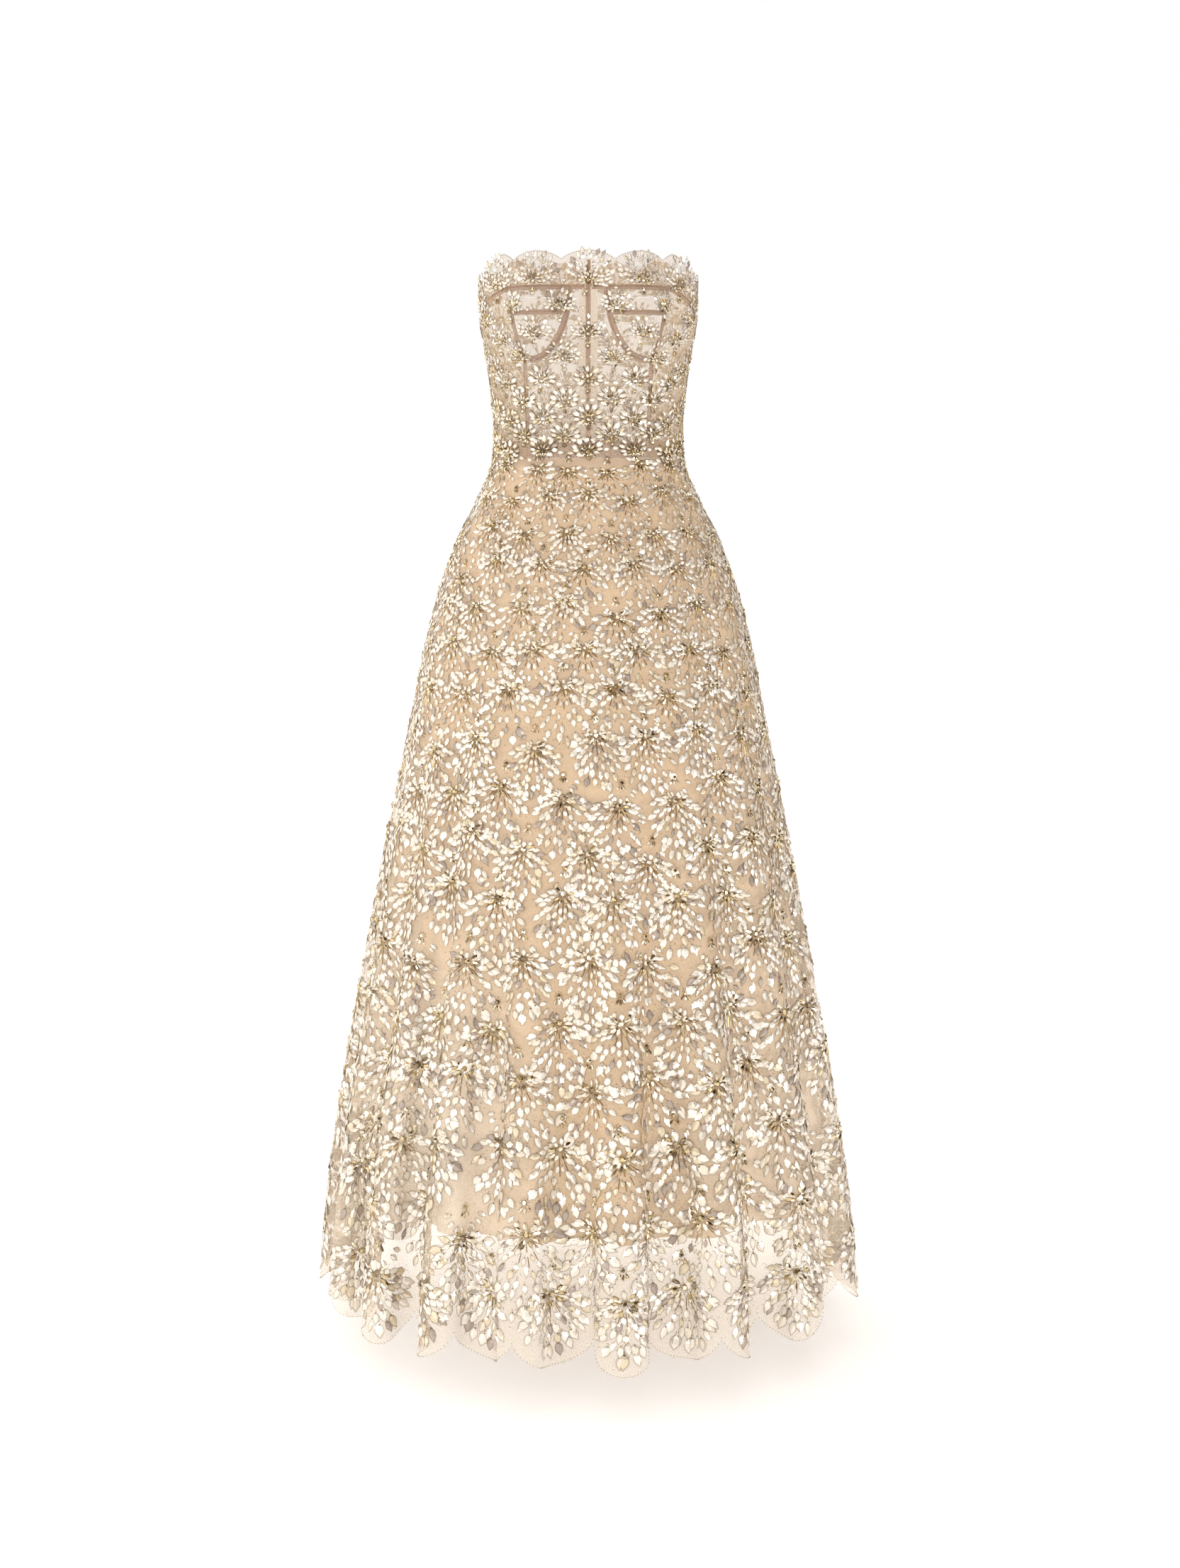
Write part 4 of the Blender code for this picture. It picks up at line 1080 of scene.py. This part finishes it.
for name, operation, *taken in steps:
    inputs = {number: values.get(item, item) for number, item in enumerate(taken)}
    values[name] = add_node(tree, "Math", inputs, operation=operation)
tints = ((0.0, "#E5DED3"), (0.49, "#DCD3C4"), (0.74, "#AA9E94"), (0.86, "#D6C9B0"))
film = add_node(tree, "ValToRGB", {0: values["tone"]}, stops=tints, interpolation="CONSTANT")
# The rim's darkening is partly painted shade between overlapping sequins, and partly the cut edge's own
# darker colour.
edge = {0: values["to the edge"], "From Min": 0.72, "From Max": 0.86, "To Max": 0.6}
edge = add_node(tree, "MapRange", edge)
dark = add_node(tree, "Math", {0: edge, 1: values["hole"]}, operation="MAXIMUM")
film_with_rim_shade = add_node(tree, "Mix", {"Factor": dark, 6: film, 7: srgb("#6F5B42")}, data_type="RGBA").outputs[2]
add_node(tree, "BsdfPrincipled", {"Base Color": film_with_rim_shade, "Metallic": 0.47, "Roughness": 0.21}, surface)

# Glass stones with a foil back: each facet is a small mirror, white or dark by where it faces.
# The foils are silver, champagne and a few smoked.
crystal_finish, tree, surface = new_finish("foil-backed glass")
tones = add_node(tree, "UVMap", uv_map=TONE_MAP)
parts = add_node(tree, "SeparateXYZ", {0: tones})
tints = ((0.0, "#DED5C2"), (0.5, "#C6B692"), (0.875, "#8C7D66"))
foil = add_node(tree, "ValToRGB", {0: parts}, stops=tints, interpolation="CONSTANT")
add_node(tree, "BsdfPrincipled", {"Base Color": foil, "Metallic": 1.0, "Roughness": 0.06}, surface)

# Galvanised glass beads in a pale antique gold, and smaller bronze ones that lock the sequins.
gold_finish, tree, surface = new_finish("galvanised gold beads")
gold = {"Base Color": srgb("#A48C60"), "Metallic": 1.0, "Roughness": 0.3}
add_node(tree, "BsdfPrincipled", gold, surface)
bronze_finish, tree, surface = new_finish("bronze lock beads")
bronze = {"Base Color": srgb("#8A7252"), "Metallic": 0.8, "Roughness": 0.4}
add_node(tree, "BsdfPrincipled", bronze, surface)

rng = np.random.default_rng(SEED)
SHAPES = {
    "sequins": (leaf_sequin(), sequin_finish),
    "leaf_crystals": (cut_crystal(6), crystal_finish),
    "round_crystals": (cut_crystal(8), crystal_finish),
    "bugles": (bugle_bead(), gold_finish),
    "gold_beads": (seed_bead(), gold_finish),
    "lock_beads": (seed_bead(), bronze_finish),
}


def embroider(area, tray, cloth, way):
    for kind, places in tray.items():
        shape, finish = SHAPES[kind]
        sewn_on(f"{kind}_{area}", cloth, way, shape, places, finish)


def row_of_beads(turns, z):
    """Beads along an edge."""
    bead = (turns, z, 0.0, 0.0, 0.0, LOCK_BEAD, LOCK_BEAD, LOCK_BEAD, EDGE_BEAD_LIFT, 0.0, 0.0, 0.0)
    return np.stack(np.broadcast_arrays(*bead), axis=-1)


# The skirt's rows come closer and smaller toward the waist, and the last one sits in the hem's
# scallops.
SKIRT_ROWS = 17
FIRST_SPACING = 0.046
LAST_SPACING = 0.094
SKIRT_TOP_ROW_Z = -0.012
SKIRT_LAST_ROW_Z = -0.982
FIRST_GAP = 0.036
# The fans' rings down to each row, with a share of the reach and a count of sequins for each.
SKIRT_RINGS = (
    (1, ((0.44, 8), (0.70, 10), (0.98, 11))),
    (6, ((0.34, 8), (0.56, 10), (0.77, 11), (0.98, 12))),
    (15, ((0.27, 8), (0.41, 10), (0.56, 12), (0.72, 13), (0.90, 13))),
    (16, ((0.26, 8), (0.39, 11), (0.53, 13), (0.69, 15), (0.86, 16))),
)
SKIRT_AREAS = ((7, "upper_skirt"), (12, "middle_skirt"), (16, "lower_skirt"))
FIRST_LEAF = 0.0094
LEAF_GROWTH = 0.0096
FIRST_GEM = 0.0053
GEM_GROWTH = 0.0045
HEM_FAN_REACH = 0.079
# A fan reaches over into the next row by this share of the gap.
ROW_OVERLAP = 1.28
PENDANT_SHARE = 0.46
ROW_STRAY = 0.30
SIZE_STRAY = 0.07
TURN_STRAY = 0.05
HEM_EDGE_BEADS = 720

last_gap = 2 * (SKIRT_TOP_ROW_Z - SKIRT_LAST_ROW_Z) / (SKIRT_ROWS - 1) - FIRST_GAP
gaps = np.linspace(FIRST_GAP, last_gap, SKIRT_ROWS - 1)
row_z = SKIRT_TOP_ROW_Z - np.concatenate([[0], np.cumsum(gaps)])
trays = {area: {} for _, area in SKIRT_AREAS}
all_round = np.linspace(-1, 1, 96, endpoint=False)
for row, z in enumerate(row_z):
    share = row / (SKIRT_ROWS - 1)
    hem = row == SKIRT_ROWS - 1
    girth = 2 * float(net.frame(all_round, np.full(len(all_round), z))[4].mean())
    count = HEM_LOBES if hem else round(girth / (FIRST_SPACING + (LAST_SPACING - FIRST_SPACING) * share))
    area = next(name for last, name in SKIRT_AREAS if row <= last)
    rings = next(rings for last, rings in SKIRT_RINGS if row <= last)
    gap_down = gaps[min(row, SKIRT_ROWS - 2)]
    spacing = 2 / count
    leaf = FIRST_LEAF + LEAF_GROWTH * share
    gem = FIRST_GEM + GEM_GROWTH * share**1.5
    behind = PENDANT_SHARE * gaps[max(row - 1, 0)]
    half_width = 0.5 * girth / count - leaf * (0.2 if hem else 0.1)
    reach = HEM_FAN_REACH if hem else gap_down * ROW_OVERLAP - leaf * 0.4
    for number in range(count):
        turn = -1 + spacing * (number + (0.5 if (row % 2 == 0) == (count % 2 == 0) else 0.0))
        stray = 0.0 if hem else rng.normal(0, ROW_STRAY * gap_down / 2)
        grown = 1.0 if hem else 1 + rng.normal(0, SIZE_STRAY)
        turn += 0.0 if hem else rng.normal(0, TURN_STRAY * spacing)
        fan(trays[area], rng, turn, z + stray, half_width * grown, reach * grown, leaf, gem, rings, behind,
            8 + row, sprig=7 if row > 1 else 0)
turns = np.linspace(-1, 1, HEM_EDGE_BEADS, endpoint=False)
trays["lower_skirt"]["lock_beads"].append(row_of_beads(turns, net_hem_z(turns, 1.0) + EDGE_BEAD_IN))
for area, tray in trays.items():
    embroider(area, tray, net, -1)

# The bodice's rows are finer, and the top one fills the scallops of the neckline.
BODICE_FANS = 13
BODICE_TOP_ROW_Z = 0.2087
BODICE_FIRST_GAP = 0.0325
BODICE_GAP_STEP = -0.0021
BODICE_ROWS = 9
BODICE_MEAN_RADIUS = 0.115
BODICE_GEM = 0.0052
BODICE_ROW_STRAY = 0.0010
# The fans down to each row: their half width, reach, outer sequins' length, rings and dots.
BODICE_ROW_FANS = (
    (0, 0.0255, 0.0350, 0.0084, ((0.30, 7), (0.45, 9), (0.62, 11), (0.81, 13), (1.02, 13)), 30),
    (3, 0.019, 0.019, 0.0072, ((0.44, 7), (0.72, 9), (1.02, 11)), 30),
    (8, 0.019, 0.019, 0.0104, ((0.76, 9),), 10),
)
NECK_EDGE_BEADS = 300


def turn_of(turn):
    """The same turn counted from minus half a circle to half a circle."""
    return (turn + math.pi) % (2 * math.pi) - math.pi


tray = {}
z = BODICE_TOP_ROW_Z
spacing = 2 * math.pi / BODICE_FANS
for row in range(BODICE_ROWS):
    gap_down = BODICE_FIRST_GAP + BODICE_GAP_STEP * row
    _, half_width, reach, leaf, rings, dots = next(fans for fans in BODICE_ROW_FANS if row <= fans[0])
    for number in range(BODICE_FANS):
        turn = spacing * (number + (0.5 if row % 2 else 0.0))
        stray = rng.normal(0, BODICE_ROW_STRAY) if row else 0
        dip = float(BAND_SEAM_Z - band_z(turn_of(turn)))
        fan(tray, rng, turn, z - dip + stray, half_width, reach, leaf, BODICE_GEM, rings, 0.5 * gap_down,
            dots, spacing * BODICE_MEAN_RADIUS)
    z -= gap_down
turns = np.linspace(-math.pi, math.pi, NECK_EDGE_BEADS, endpoint=False)
tray["lock_beads"].append(row_of_beads(turns, neck_z(turns) - EDGE_BEAD_IN))
embroider("bodice", tray, bodice, 1)
